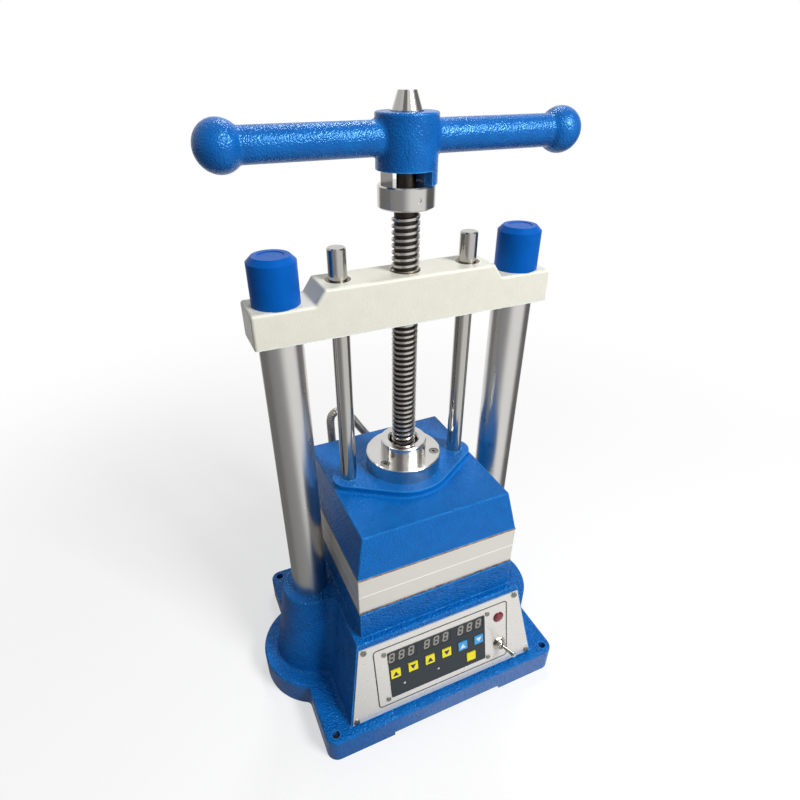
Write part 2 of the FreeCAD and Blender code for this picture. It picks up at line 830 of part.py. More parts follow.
# Columns, nuts and caps.
def column(name, side):
    foot_end = "foot_nut_rise - foot_nut_height - foot_thread_stand"
    body = turned(name, [
        ("0", foot_end),
        ("column_foot_radius - column_chamfer", foot_end),
        ("column_foot_radius", f"{foot_end} + column_chamfer"),
        ("column_foot_radius", BOSS_TOP),
        ("column_radius", BOSS_TOP),
        ("column_radius", BEAM_FOOT),
        ("column_top_radius", BEAM_FOOT),
        ("column_top_radius", f"{BEAM_FOOT} + column_top_length - column_chamfer"),
        ("column_top_radius - column_chamfer", f"{BEAM_FOOT} + column_top_length"),
        ("0", f"{BEAM_FOOT} + column_top_length"),
    ])
    return put(body, column_x(side))


def column_nuts(name, flats, height, bore, low):
    nuts = []
    for side_name, side in SIDES:
        x = column_x(side)
        outer = hexagon(f"{name}_{side_name}_hex", flats, height, x, "0", low)
        hole = cylinder(f"{name}_{side_name}_bore", bore, f"{height} + 2", x, "0", f"{low} - 1")
        nuts.append(cut(f"{name}_{side_name}", outer, [hole]))
    return group(name, nuts)


def column_caps():
    inner = "(cap_radius - cap_wall)"
    dimple = "(cap_height - cap_dimple_depth)"
    outline = [
        (inner, "0"),
        ("cap_radius", "0"),
        ("cap_radius", "cap_height - cap_chamfer"),
        ("cap_radius - cap_chamfer", "cap_height"),
        ("cap_dimple_radius", "cap_height"),
        ("cap_dimple_radius", dimple),
        ("0", dimple),
        ("0", f"{dimple} - cap_wall"),
        (f"{inner} - cap_chamfer", f"{dimple} - cap_wall"),
        (inner, "cap_height - cap_chamfer - cap_wall"),
    ]
    return group("column_caps", [put(turned(f"{name}_cap", outline), column_x(side), "0", BEAM_END_TOP)
                                 for name, side in SIDES])


# Cross beam with the screw's nut and the guide bushes.
def cross_beam():
    half = "beam_length / 2"
    hump = "(beam_end_height + beam_hump_height)"
    front = [(f"-{half}", "0"), (half, "0"), (half, "beam_end_height"),
             ("beam_slope_foot", "beam_end_height"), ("beam_slope_top", hump),
             ("-beam_slope_top", hump), ("-beam_slope_foot", "beam_end_height"),
             (f"-{half}", "beam_end_height")]
    profile = put(plate("beam_profile", front, "beam_depth"), "0", "beam_depth / 2", BEAM_FOOT,
                  AXIS_TURNS["front"])
    shaped = rounded("beam_rounded", profile, ("beam_round", above(BEAM_FOOT)))
    drills = [cylinder("nut_seat", "nut_body_radius", f"{BEAM_TOP} - {BEAM_FOOT} - nut_neck_height + 1",
                       "0", "0", f"{BEAM_FOOT} - 1"),
              cylinder("nut_neck_hole", "nut_neck_radius", "nut_neck_height + 2", "0", "0",
                       f"{BEAM_TOP} - nut_neck_height - 1")]
    for name, side in SIDES:
        drills.append(cylinder(f"{name}_beam_hole", "column_top_radius + fit_gap", "100",
                               column_x(side), "0", f"{BEAM_FOOT} - 1"))
        drills.append(cylinder(f"{name}_bush_hole", "guide_bush_radius", "100",
                               guide_x(side), "0", f"{BEAM_FOOT} - 1"))
    return cut("cross_beam", shaped, drills)


def screw_nut():
    bore = "(screw_radius + nut_gap)"
    shoulder = f"({BEAM_TOP} - {BEAM_FOOT} - nut_neck_height)"
    crown = f"({BEAM_TOP} - {BEAM_FOOT} + nut_stand)"
    body = turned("screw_nut", [
        (bore, "0"), ("nut_body_radius", "0"), ("nut_body_radius", shoulder),
        ("nut_neck_radius", shoulder), ("nut_neck_radius", crown), (bore, crown),
    ])
    return put(body, "0", "0", BEAM_FOOT)


def guide_bushes():
    bore = "(guide_rod_radius + guide_running_gap)"
    tall = f"({BEAM_TOP} - {BEAM_FOOT})"
    outline = [(bore, "0"), ("guide_bush_radius", "0"), ("guide_bush_radius", tall), (bore, tall)]
    return group("guide_bushes", [put(turned(f"{name}_bush", outline), guide_x(side), "0", BEAM_FOOT)
                                  for name, side in SIDES])


# Sliding head with its pad, thrust bearing and thrust cap.
def head_pad():
    """A disc and two round lobes joined by straight tangent sides."""
    lean = "((pad_middle_radius - pad_lobe_radius) / (guide_spacing / 2))"
    rise = f"sqrt(1 - {lean} * {lean})"
    lobe_x = f"(guide_spacing / 2 + pad_lobe_radius * {lean})"
    lobe_y = f"(pad_lobe_radius * {rise})"
    disc_x = f"(pad_middle_radius * {lean})"
    disc_y = f"(pad_middle_radius * {rise})"
    corners = [(lobe_x, f"-{lobe_y}"), (lobe_x, lobe_y), (disc_x, disc_y), (f"-{disc_x}", disc_y),
               (f"-{lobe_x}", lobe_y), (f"-{lobe_x}", f"-{lobe_y}"), (f"-{disc_x}", f"-{disc_y}"),
               (disc_x, f"-{disc_y}")]
    low = f"{HEAD_TOP} - head_round - 1"
    tall = "pad_height + head_round + 1"
    web = put(plate("pad_web", corners, tall), "0", "0", low)
    discs = [cylinder("pad_middle", "pad_middle_radius", tall, "0", "0", low)]
    discs += [cylinder(f"{name}_lobe", "pad_lobe_radius", tall, guide_x(side), "0", low)
              for name, side in SIDES]
    return fused("head_pad", [web] + discs)


def pad_foot(edge, middle):
    """The line where the pad stands on the head, away from the head's own edges."""
    inside_x = abs(middle.x) < number("head_top_width / 2 - head_round") - 0.1
    return inside_x and level_with(HEAD_TOP)(edge, middle) and abs(middle.y) < number("pad_middle_radius + 8")


def head_casting():
    foot = ("-platen_width / 2", "platen_width / 2", "-platen_front", "platen_back")
    top = ("-head_top_width / 2", "head_top_width / 2", "-head_top_front", "head_top_back")
    slab = frustum("head_slab", foot, top, HEAD_FOOT, HEAD_TOP)
    slab = rounded("head_slab_rounded", slab, ("head_round", above(HEAD_FOOT)))
    gland_seat = cylinder("head_gland_seat", "head_gland_boss", "head_gland_depth + 4", "head_gland_x",
                          "platen_back - head_gland_depth - 4", "head_gland_z", "back")
    whole = fused("head_whole", [slab, head_pad(), gland_seat])
    whole = rounded("head_whole_rounded", whole, ("head_round / 2", level_with(PAD_TOP)),
                    ("pad_blend", pad_foot))
    drills = [cylinder("bearing_pocket", "bearing_pocket_radius", "bearing_pocket_depth + 1", "0", "0",
                       POCKET_FOOT)]
    for name, side in SIDES:
        drills.append(cylinder(f"{name}_rod_socket", "guide_rod_radius", "guide_rod_seat + 1",
                               guide_x(side), "0", f"{PAD_TOP} - guide_rod_seat"))
    for k, (x, y) in enumerate(thrust_screw_places()):
        drills.append(cylinder(f"thrust_tapping_{k}", "thrust_screw_radius", "thrust_screw_length",
                               x, y, f"{PAD_TOP} - thrust_screw_length + 8"))
    for k, (x, y) in enumerate(platen_screw_places()):
        drills.append(cylinder(f"head_tapping_{k}", "platen_screw_radius", "platen_screw_grip",
                               x, y, f"{HEAD_FOOT} - 1"))
    drills.append(cylinder("head_gland_hole", "gland_radius", "head_gland_depth + 1", "head_gland_x",
                           "platen_back - head_gland_depth", "head_gland_z", "back"))
    return cut("head_casting", whole, drills)


def guide_rod(name, side):
    low = f"({PAD_TOP} - guide_rod_seat)"
    body = turned(name, [
        ("0", low), ("guide_rod_radius", low),
        ("guide_rod_radius", "guide_rod_top - guide_rod_chamfer"),
        ("guide_rod_radius - guide_rod_chamfer", "guide_rod_top"), ("0", "guide_rod_top"),
    ])
    return put(body, guide_x(side))


def thrust_bearing():
    def washer(name, low):
        body = turned(name, [("bearing_bore_radius", "0"), ("bearing_outer_radius", "0"),
                             ("bearing_outer_radius", "bearing_washer_height"),
                             ("bearing_bore_radius", "bearing_washer_height")])
        return put(body, "0", "0", low)
    race_gap = "(2 * bearing_ball_radius)"
    pieces = [washer("bearing_lower_washer", POCKET_FOOT),
              washer("bearing_upper_washer", f"{POCKET_FOOT} + bearing_washer_height + {race_gap}")]
    count = int(number("bearing_ball_count"))
    for k in range(count):
        turn = f"{k} * 360 / bearing_ball_count"
        pieces.append(ball(f"bearing_ball_{k}", "bearing_ball_radius - 0.02",
                           f"bearing_ball_circle * cos({turn})", f"bearing_ball_circle * sin({turn})",
                           f"{POCKET_FOOT} + bearing_washer_height + bearing_ball_radius"))
    return group("thrust_bearing", pieces)


def thrust_screw_places():
    return [(f"thrust_screw_circle * cos({angle})", f"thrust_screw_circle * sin({angle})")
            for angle in (90, 210, 330)]


def thrust_cap():
    bore = "thrust_bore_radius"
    ring = "thrust_ring_radius"
    disc = "thrust_disc_radius"
    tall = "(thrust_disc_height + thrust_ring_height)"
    body = turned("thrust_cap_blank", [
        (bore, "0"), (disc, "0"), (disc, "thrust_disc_height - thrust_chamfer"),
        (f"{disc} - thrust_chamfer", "thrust_disc_height"), (ring, "thrust_disc_height"),
        (ring, f"{tall} - thrust_chamfer"), (f"{ring} - thrust_chamfer", tall),
        (f"{bore} + 2 * thrust_chamfer", tall), (bore, f"{tall} - 2 * thrust_chamfer"),
    ])
    put(body, "0", "0", PAD_TOP)
    drills = []
    for k, (x, y) in enumerate(thrust_screw_places()):
        drills.append(cylinder(f"thrust_hole_{k}", "thrust_screw_radius + fit_gap",
                               "thrust_disc_height + 2", x, y, f"{PAD_TOP} - 1"))
        drills.append(cylinder(f"thrust_recess_{k}", "thrust_screw_recess_radius",
                               "thrust_screw_head_height + 1", x, y,
                               f"{DISC_TOP} - thrust_screw_head_height"))
    return cut("thrust_cap", body, drills)


def thrust_cap_screws():
    screws = []
    for k, (x, y) in enumerate(thrust_screw_places()):
        seat = f"({DISC_TOP} - thrust_screw_head_height)"
        head = cylinder(f"thrust_screw_head_{k}", "thrust_screw_head_radius",
                        "thrust_screw_head_height - 0.4", x, y, seat)
        shank = cylinder(f"thrust_screw_shank_{k}", "thrust_screw_radius", "thrust_screw_length",
                         x, y, f"{seat} - thrust_screw_length")
        socket = hexagon(f"thrust_screw_socket_{k}", "2 * thrust_screw_socket", "4", x, y,
                         f"{seat} + thrust_screw_head_height - 3.4")
        screws.append(cut(f"thrust_screw_{k}", fused(f"thrust_screw_blank_{k}", [head, shank]), [socket]))
    return group("thrust_cap_screws", screws)


# Lead screw: captured foot, threaded length, collar seat and the journal for the handle.
def lead_screw():
    root = "(screw_radius - thread_depth)"
    foot = f"({BEARING_TOP} + bearing_gap)"
    foot_top = f"({PAD_TOP} - screw_foot_play)"
    core_start = f"({PAD_TOP} + thread_start)"
    core = turned("screw_core", [
        ("0", foot), ("screw_foot_radius", foot), ("screw_foot_radius", foot_top),
        ("screw_neck_radius", foot_top), ("screw_neck_radius", core_start), (root, core_start),
        (root, f"{COLLAR_FOOT} - 2"), ("collar_seat_radius", f"{COLLAR_FOOT} - 2"),
        ("collar_seat_radius", f"{HUB_FOOT} - end_play"), ("screw_journal_radius", f"{HUB_FOOT} - end_play"),
        ("screw_journal_radius", f"{HUB_TOP} + screw_end_length"),
        ("0", f"{HUB_TOP} + screw_end_length"),
    ])
    put(core)
    doc.recompute()
    low = number(core_start)
    high = number(COLLAR_FOOT) - 4
    pitch = number("thread_pitch")
    crest_radius = number("screw_radius")
    sunk_radius = number(root) - 0.4
    half_crest = number("thread_crest") / 2
    half_root = pitch / 2 - number("thread_root") / 2 + 0.1
    outline = Part.makePolygon([
        FreeCAD.Vector(sunk_radius, 0, -half_root),
        FreeCAD.Vector(crest_radius, 0, -half_crest),
        FreeCAD.Vector(crest_radius, 0, half_crest),
        FreeCAD.Vector(sunk_radius, 0, half_root),
        FreeCAD.Vector(sunk_radius, 0, -half_root)])
    helix = Part.Wire(Part.makeHelix(pitch, high - low - pitch, sunk_radius))
    ridge = helix.makePipeShell([outline], True, True)
    ridge.translate(FreeCAD.Vector(0, number("press_axis_y"), low + pitch / 2))
    screw = doc.addObject("Part::Feature", "lead_screw")
    screw.Shape = core.Shape.fuse(ridge)
    return screw


def drive_collar():
    bore = "(collar_seat_radius)"
    blank = turned("collar_blank", [
        (bore, "0"), ("collar_radius - collar_chamfer", "0"), ("collar_radius", "collar_chamfer"),
        ("collar_radius", "collar_height - collar_chamfer"),
        ("collar_radius - collar_chamfer", "collar_height"), (bore, "collar_height"),
    ])
    put(blank, "0", "0", COLLAR_FOOT)
    tooth = doc.addObject("Part::Box", "collar_tooth")
    tie(tooth, Length="tooth_outer - tooth_inner", Width="tooth_width", Height="tooth_height + 1")
    side = "tooth_width / 2"
    put(tooth, f"tooth_inner * cos(tooth_angle) + {side} * sin(tooth_angle)",
        f"tooth_inner * sin(tooth_angle) - {side} * cos(tooth_angle)",
        f"{COLLAR_TOP} - 1", "vector(0; 0; 1); tooth_angle")
    pin_hole = cylinder("collar_pin_hole", "collar_pin_radius", "2 * collar_radius + 2", "0",
                        "-collar_radius - 1", f"{COLLAR_FOOT} + collar_height / 2", "back")
    return cut("drive_collar", fused("collar_whole", [blank, tooth]), [pin_hole])


def collar_pins():
    """Two dowels from the back and front rims of the collar down to the screw."""
    length = "(collar_radius - collar_seat_radius - 1)"
    z = f"{COLLAR_FOOT} + collar_height / 2"
    back = cylinder("collar_back_pin", "collar_pin_radius", length, "0", "collar_seat_radius", z, "back")
    front = cylinder("collar_front_pin", "collar_pin_radius", length, "0", "-collar_seat_radius", z,
                     "front")
    return group("collar_pins", [back, front])


# Handle: hub with a driving lip, two arms and two balls, turning freely on the screw's journal.
def handle_casting():
    hub = cylinder("hub", "hub_radius", "hub_height")
    hub = rounded("hub_rounded", hub, ("hub_round", level_with("hub_height")))
    arm = cylinder("arm_bar", "arm_radius", "2 * ball_distance", "-ball_distance", "0", "arm_height",
                   "right")
    body = fused("handle_bar", [hub, arm])
    reach = number("ball_distance")
    span = number("hub_radius")
    body = rounded("handle_bar_rounded", body, (
        "arm_fillet", lambda edge, middle: abs(middle.x) < span + 0.5
        and curve_kind(edge) not in ("Part::GeomCircle", "Part::GeomLine")))
    balls = [put(tie(doc.addObject("Part::Sphere", f"{name}_ball"), Radius="ball_radius"),
                 f"{side} * ball_distance", "0", "arm_height", f"vector(0; 0; 1); 90 - 90 * ({side})")
             for name, side in SIDES]
    ends = fused("handle_ends", [body] + balls)
    ends = rounded("handle_ends_rounded", ends, (
        "ball_neck_fillet", lambda edge, middle: reach - number("ball_radius") < abs(middle.x) < reach
        and curve_kind(edge) == "Part::GeomCircle" and edge.Closed))
    lip_ring = doc.addObject("Part::Cylinder", "lip_ring")
    tie(lip_ring, Radius="hub_radius", Height="lip_drop + 1", Angle="lip_to - lip_from")
    put(lip_ring, "0", "0", "-lip_drop", "vector(0; 0; 1); lip_from")
    inside = cylinder("lip_inside", "lip_inner_radius", "lip_drop + 2", "0", "0", "-lip_drop - 2")
    lip = cut("handle_lip", lip_ring, [inside])
    bore = cylinder("hub_bore", "hub_bore_radius", "hub_height + 2", "0", "0", "-1")
    whole = cut("handle_blank", fused("handle_whole", [ends, lip]), [bore])
    return whole


def turned_about_screw(name, piece):
    """The handle's pieces stand at the height of the hub, turned by the handle's angle."""
    doc.recompute()
    placed = doc.addObject("Part::Compound", name)
    placed.Links = [piece]
    lift = "placement(vector(0; press_axis_y; 0); rotation(vector(0; 0; 1); handle_angle))"
    back = "placement(vector(0; -press_axis_y; 0); rotation(vector(0; 0; 1); 0))"
    rise = f"placement(vector(0; 0; {HUB_FOOT}); rotation(vector(0; 0; 1); 0))"
    placed.setExpression("Placement", tied(f"{rise} * {lift} * {back}"))
    return placed


def hub_bush():
    bore = "(screw_journal_radius + hub_running_gap)"
    body = turned("hub_bush", [(bore, "0"), ("hub_bore_radius", "0"),
                               ("hub_bore_radius", "hub_height"), (bore, "hub_height")])
    return put(body, "0", "0", HUB_FOOT)


def tip_nut():
    low = f"({HUB_TOP} + end_play)"
    inner = "screw_journal_radius"
    flange = "tip_flange_height"
    depth = f"({HUB_TOP} + screw_end_length - {low})"
    body = turned("tip_nut", [
        (inner, "0"), ("tip_flange_radius", "0"), ("tip_flange_radius", flange),
        ("tip_foot_radius", flange), ("tip_top_radius", "tip_height"), ("0", "tip_height"),
        ("0", depth), (inner, depth)])
    return put(body, "0", "0", low)


# Control panel and everything that is fastened to it.
def panel_box(name, x, y, width, height, low, high):
    """A box centred on a point of the panel, between two distances out of its face."""
    piece = doc.addObject("Part::Box", name)
    tie(piece, Length=width, Width=height, Height=f"({high}) - ({low})")
    return put_on_panel(piece, f"{x} - ({width}) / 2", f"{y} - ({height}) / 2", low)


def panel_rod(name, x, y, radius, low, high):
    piece = doc.addObject("Part::Cylinder", name)
    tie(piece, Radius=radius, Height=f"({high}) - ({low})")
    return put_on_panel(piece, x, y, low)


def panel_hex(name, x, y, flats, low, high):
    piece = doc.addObject("Part::Prism", name)
    piece.Polygon = 6
    tie(piece, Circumradius=f"({flats}) / sqrt(3)", Height=f"({high}) - ({low})")
    return put_on_panel(piece, x, y, low)


DISPLAYS = {
    "upper_temperature_display": "membrane_x - 1.6 - display_pitch",
    "lower_temperature_display": "membrane_x - 1.6",
    "timer_display": "membrane_x - 1.6 + display_pitch",
}
KEY_NAMES = ("upper_heat_up_key", "upper_heat_down_key", "lower_heat_up_key",
             "lower_heat_down_key", "time_up_key", "time_down_key")
KEYS = {name: (f"membrane_x - 1.6 + {k - 2.5} * key_pitch + 0.5", "key_y")
        for k, name in enumerate(KEY_NAMES)}
KEYS["start_key"] = ("start_key_x", "start_key_y")
LEDS = [("membrane_x - 1.6 - led_x", "led_y"), ("membrane_x - 1.6", "led_y")]
BOARD_FACE = "(-panel_thickness - spacer_length)"


def spacer_places():
    return [(f"membrane_x + {sx} * (board_width / 2 - spacer_inset_x)",
             f"membrane_y + {sy} * (board_height / 2 - spacer_inset_y)")
            for sx in (-1, 1) for sy in (-1, 1)]


def panel_windows(name, low, high):
    """Cutters for the openings that the panel and the membrane share."""
    tools = [panel_box(f"{name}_{key}", x, "display_y", "display_face_width + 2 * window_gap",
                       "display_face_height + 2 * window_gap", low, high)
             for key, x in DISPLAYS.items()]
    tools += [panel_box(f"{name}_{key}", x, y, "key_side + 2 * window_gap",
                        "key_side + 2 * window_gap", low, high) for key, (x, y) in KEYS.items()]
    tools += [panel_rod(f"{name}_led_{k}", x, y, "led_radius + 0.1", low, high)
              for k, (x, y) in enumerate(LEDS)]
    return tools


def control_panel():
    corners = [("-panel_foot_width / 2", "0"), ("panel_foot_width / 2", "0"),
               ("panel_top_width / 2", "panel_height"), ("-panel_top_width / 2", "panel_height")]
    blank = put_on_panel(plate("panel_blank", corners, "panel_thickness"), "0", "0",
                         "-panel_thickness")
    low = "-panel_thickness - 1"
    tools = panel_windows("panel_cut", low, "1")
    tools += [panel_rod(f"panel_screw_hole_{k}", x, y, "case_screw_radius + fit_gap", low, "1")
              for k, (x, y) in enumerate(panel_screw_places())]
    tools += [panel_rod(f"spacer_hole_{k}", x, y, "spacer_screw_radius + fit_gap", low, "1")
              for k, (x, y) in enumerate(spacer_places())]
    tools.append(panel_rod("lamp_hole", "lamp_x", "lamp_y", "lamp_hole_radius", low, "1"))
    tools.append(panel_rod("switch_hole", "switch_x", "switch_y", "switch_bush_radius", low, "1"))
    return cut("control_panel", blank, tools)


def case_screw(name):
    """A pan-head screw with a cross slot; its seat is at its own origin and its head points up."""
    head = tie(doc.addObject("Part::Cylinder", f"{name}_head"), Radius="case_screw_head_radius",
               Height="case_screw_head_height")
    shank = tie(doc.addObject("Part::Cylinder", f"{name}_shank"), Radius="case_screw_radius",
                Height="case_screw_length + 0.5")
    shank.setExpression("Placement", tied("placement(vector(0; 0; -case_screw_length);"
                                          " rotation(vector(0; 0; 1); 0))"))
    slots = []
    for k, (long_side, short_side) in enumerate((("2.6 * case_screw_radius / 2", "case_screw_slot"),
                                                 ("case_screw_slot", "2.6 * case_screw_radius / 2"))):
        slot = doc.addObject("Part::Box", f"{name}_slot_{k}")
        tie(slot, Length=long_side, Width=short_side, Height="case_screw_head_height")
        slot.setExpression("Placement", tied(f"placement(vector(-({long_side}) / 2; -({short_side}) / 2;"
                                             " case_screw_head_height / 2); rotation(vector(0; 0; 1); 0))"))
        slots.append(slot)
    screw = cut(name, fused(f"{name}_blank", [head, shank]), slots)
    return screw


def case_screws():
    """The same screw holds the panel and the bottom cover."""
    screws = [put_on_panel(case_screw(f"panel_screw_{k}"), x, y)
              for k, (x, y) in enumerate(panel_screw_places())]
    screws += [put(case_screw(f"cover_screw_{k}"), x, y, "cover_level", "vector(1; 0; 0); 180")
               for k, (x, y) in enumerate(cover_screw_places())]
    return group("case_screws", screws)


def display_membrane():
    sheet_stock = panel_box("membrane_blank", "membrane_x", "membrane_y", "membrane_width",
                            "membrane_height", "0", "membrane_thickness")
    doc.recompute()
    tilt = math.radians(number("housing_tilt"))
    outward = FreeCAD.Vector(0, -math.cos(tilt), math.sin(tilt))
    trimmed = rounded("membrane_corners", sheet_stock, (
        "membrane_corner",
        lambda edge, middle: abs(edge.tangentAt(edge.FirstParameter).dot(outward)) > 0.99))
    return cut("display_membrane", trimmed, panel_windows("membrane_cut", "-1", "3"))


def spacers():
    hollow = []
    for k, (x, y) in enumerate(spacer_places()):
        post = panel_rod(f"spacer_post_{k}", x, y, "spacer_radius", BOARD_FACE, "-panel_thickness")
        bore = panel_rod(f"spacer_bore_{k}", x, y, "spacer_screw_radius", f"{BOARD_FACE} - 1", "1")
        hollow.append(cut(f"spacer_{k}", post, [bore]))
    return group("board_spacers", hollow)


def membrane_screws():
    screws = []
    for k, (x, y) in enumerate(spacer_places()):
        head = panel_rod(f"membrane_screw_head_{k}", x, y, "spacer_screw_head_radius", "0",
                         "spacer_screw_head_height")
        shank = panel_rod(f"membrane_screw_shank_{k}", x, y, "spacer_screw_radius",
                          f"{BOARD_FACE} - board_thickness - 3", "0.5")
        screws.append(fused(f"membrane_screw_{k}", [head, shank]))
    return group("membrane_screws", screws)


def control_board():
    blank = panel_box("board_blank", "membrane_x", "membrane_y", "board_width", "board_height",
                      f"{BOARD_FACE} - board_thickness", BOARD_FACE)
    holes = [panel_rod(f"board_hole_{k}", x, y, "spacer_screw_radius + fit_gap",
                       f"{BOARD_FACE} - board_thickness - 1", f"{BOARD_FACE} + 1")
             for k, (x, y) in enumerate(spacer_places())]
    drilled = cut("board_drilled", blank, holes)
    switches = [panel_box(f"{name}_switch", x, y, "key_switch_side", "key_switch_side",
                          BOARD_FACE, f"{BOARD_FACE} + key_switch_height")
                for name, (x, y) in KEYS.items()]
    return fused("control_board", [drilled] + switches)


def number_displays():
    units = []
    for name, x in DISPLAYS.items():
        back = panel_box(f"{name}_case", x, "display_y", "display_width", "display_height",
                         BOARD_FACE, f"{BOARD_FACE} + display_body_depth")
        face = panel_box(f"{name}_face", x, "display_y", "display_face_width", "display_face_height",
                         f"{BOARD_FACE} + display_body_depth - 1",
                         "membrane_thickness - display_face_drop")
        units.append(fused(f"{name}_unit", [back, face]))
    return group("number_displays", units)


KEY_FLANGE_TOP = "(-panel_thickness - 0.3)"


def key(name, x, y):
    cap = panel_box(f"{name}_cap", x, y, "key_side", "key_side", f"{KEY_FLANGE_TOP} - 0.5",
                    "membrane_thickness + key_stand")
    flange = panel_box(f"{name}_flange", x, y, "key_flange", "key_flange",
                       f"{KEY_FLANGE_TOP} - key_flange_height", KEY_FLANGE_TOP)
    stem = panel_rod(f"{name}_stem", x, y, "key_stem_radius",
                     f"{BOARD_FACE} + key_switch_height + key_travel + 0.2", KEY_FLANGE_TOP)
    return fused(name, [cap, flange, stem])


def indicator_leds():
    lights = []
    for k, (x, y) in enumerate(LEDS):
        stem = panel_rod(f"led_stem_{k}", x, y, "led_radius", BOARD_FACE,
                         "membrane_thickness + led_stand - led_radius / 2")
        dome = doc.addObject("Part::Sphere", f"led_dome_{k}")
        tie(dome, Radius="led_radius")
        put_on_panel(dome, x, y, "membrane_thickness + led_stand - led_radius")
        lights.append(fused(f"indicator_led_{k}", [stem, dome]))
    return group("indicator_leds", lights)


def lamp():
    body = panel_rod("lamp_barrel", "lamp_x", "lamp_y", "lamp_hole_radius", "-lamp_body_length", "0")
    nut = panel_hex("lamp_nut_hex", "lamp_x", "lamp_y", "2 * lamp_nut_radius",
                    "-panel_thickness - lamp_nut_height", "-panel_thickness")
    bore = panel_rod("lamp_nut_bore", "lamp_x", "lamp_y", "lamp_hole_radius",
                     "-panel_thickness - lamp_nut_height - 1", "1")
    holder = fused("lamp_holder", [body, cut("lamp_nut", nut, [bore])])
    lens = turned("lamp_lens", [
        ("0", "0"), ("lamp_lens_radius", "0"), ("lamp_lens_radius", "0.4 * lamp_lens_height"),
        ("0.86 * lamp_lens_radius", "0.75 * lamp_lens_height"),
        ("0.5 * lamp_lens_radius", "lamp_lens_height"), ("0", "lamp_lens_height"),
    ])
    put_on_panel(lens, "lamp_x", "lamp_y", "0")
    return holder, lens


def toggle_switch():
    """Body with a threaded bush, the panel nut, and the lever that swings in the bush."""
    pivot = "(switch_bush_length - switch_pivot_depth)"
    case = panel_box("switch_case", "switch_x", "switch_y", "switch_body_width", "switch_body_height",
                     "-panel_thickness - switch_body_depth", "-panel_thickness")
    bush = panel_rod("switch_bush", "switch_x", "switch_y", "switch_bush_radius",
                     "-panel_thickness - 1", "switch_bush_length")
    seat = doc.addObject("Part::Sphere", "switch_seat")
    tie(seat, Radius="lever_ball_radius + 0.15")
    put_on_panel(seat, "switch_x", "switch_y", pivot)
    mouth = doc.addObject("Part::Cone", "switch_mouth")
    tie(mouth, Radius1="lever_foot_radius + 1", Radius2="lever_slot_radius", Height="switch_pivot_depth + 1")
    put_on_panel(mouth, "switch_x", "switch_y", pivot)
    body = cut("toggle_body", fused("switch_blank", [case, bush]), [seat, mouth])
    nut_hex = panel_hex("switch_nut_hex", "switch_x", "switch_y", "switch_nut_flats", "0",
                        "switch_nut_height")
    nut_bore = panel_rod("switch_nut_bore", "switch_x", "switch_y", "switch_bush_radius", "-1", "9")
    nut = cut("toggle_nut", nut_hex, [nut_bore])
    lever = turned("toggle_bat", [
        ("0", "0"), ("lever_foot_radius", "0"), ("lever_tip_radius", "lever_length - 2"),
        ("0.7 * lever_tip_radius", "lever_length - 0.5"), ("0", "lever_length"),
    ])
    put_on_panel(lever, "switch_x", "switch_y", pivot, "vector(0; 1; 0); switch_throw / 2")
    knob = doc.addObject("Part::Sphere", "toggle_ball")
    tie(knob, Radius="lever_ball_radius")
    put_on_panel(knob, "switch_x", "switch_y", pivot)
    return body, nut, fused("toggle_lever", [lever, knob])


# What stands on the bottom cover inside the housing.
def transformer():
    def centred(name, width, depth, low, high):
        x, y = "transformer_x", "transformer_y"
        return block(name, f"{x} - {width} / 2", f"{x} + {width} / 2", f"{y} - {depth} / 2",
                     f"{y} + {depth} / 2", low, high)
    core = centred("transformer_core", "transformer_width", "transformer_depth",
                   COVER_TOP, f"{COVER_TOP} + transformer_height")
    middle = f"{COVER_TOP} + (transformer_height - transformer_coil_height) / 2"
    coil = centred("transformer_coil", "transformer_coil_width", "transformer_coil_depth",
                   middle, f"{middle} + transformer_coil_height")
    return fused("transformer", [core, coil])


def relays():
    bodies = []
    for k in (0, 1):
        y = f"relay_y - {k} * relay_pitch"
        bodies.append(block(f"relay_{k}", "relay_x - relay_width / 2", "relay_x + relay_width / 2",
                            f"{y} - relay_depth / 2", f"{y} + relay_depth / 2",
                            COVER_TOP, f"{COVER_TOP} + relay_height"))
    return group("heater_relays", bodies)


def terminal_block():
    return block("terminal_block", "transformer_x - terminal_width / 2",
                 "transformer_x + terminal_width / 2", "terminal_y - terminal_depth / 2",
                 "terminal_y + terminal_depth / 2", COVER_TOP, f"{COVER_TOP} + terminal_height")


# Elbow glands and the ribbed conduit hose between the base and the head.
def elbow_gland(name, x, wall_y, z, inner, lean="0"):
    """A hexagon against the wall, a stub behind it and a socket that looks up, leaning to the left."""
    reach = "(gland_hex_height + gland_reach)"
    stem = cylinder(f"{name}_stem", "gland_radius", f"{inner} + {reach}", x, f"{wall_y} - {inner}", z,
                    "back")
    nut = doc.addObject("Part::Prism", f"{name}_hexagon")
    nut.Polygon = 6
    tie(nut, Circumradius="gland_hex_flats / sqrt(3)", Height="gland_hex_height")
    put(nut, x, wall_y, z, AXIS_TURNS["back"])
    corner = ball(f"{name}_corner", "gland_elbow_radius", x, f"{wall_y} + {reach}", z)
    socket = tie(doc.addObject("Part::Cylinder", f"{name}_socket"), Radius="gland_radius",
                 Height="gland_socket_length")
    put(socket, x, f"{wall_y} + {reach}", z, f"vector(0; 1; 0); -({lean})")
    return fused(name, [stem, nut, corner, socket])


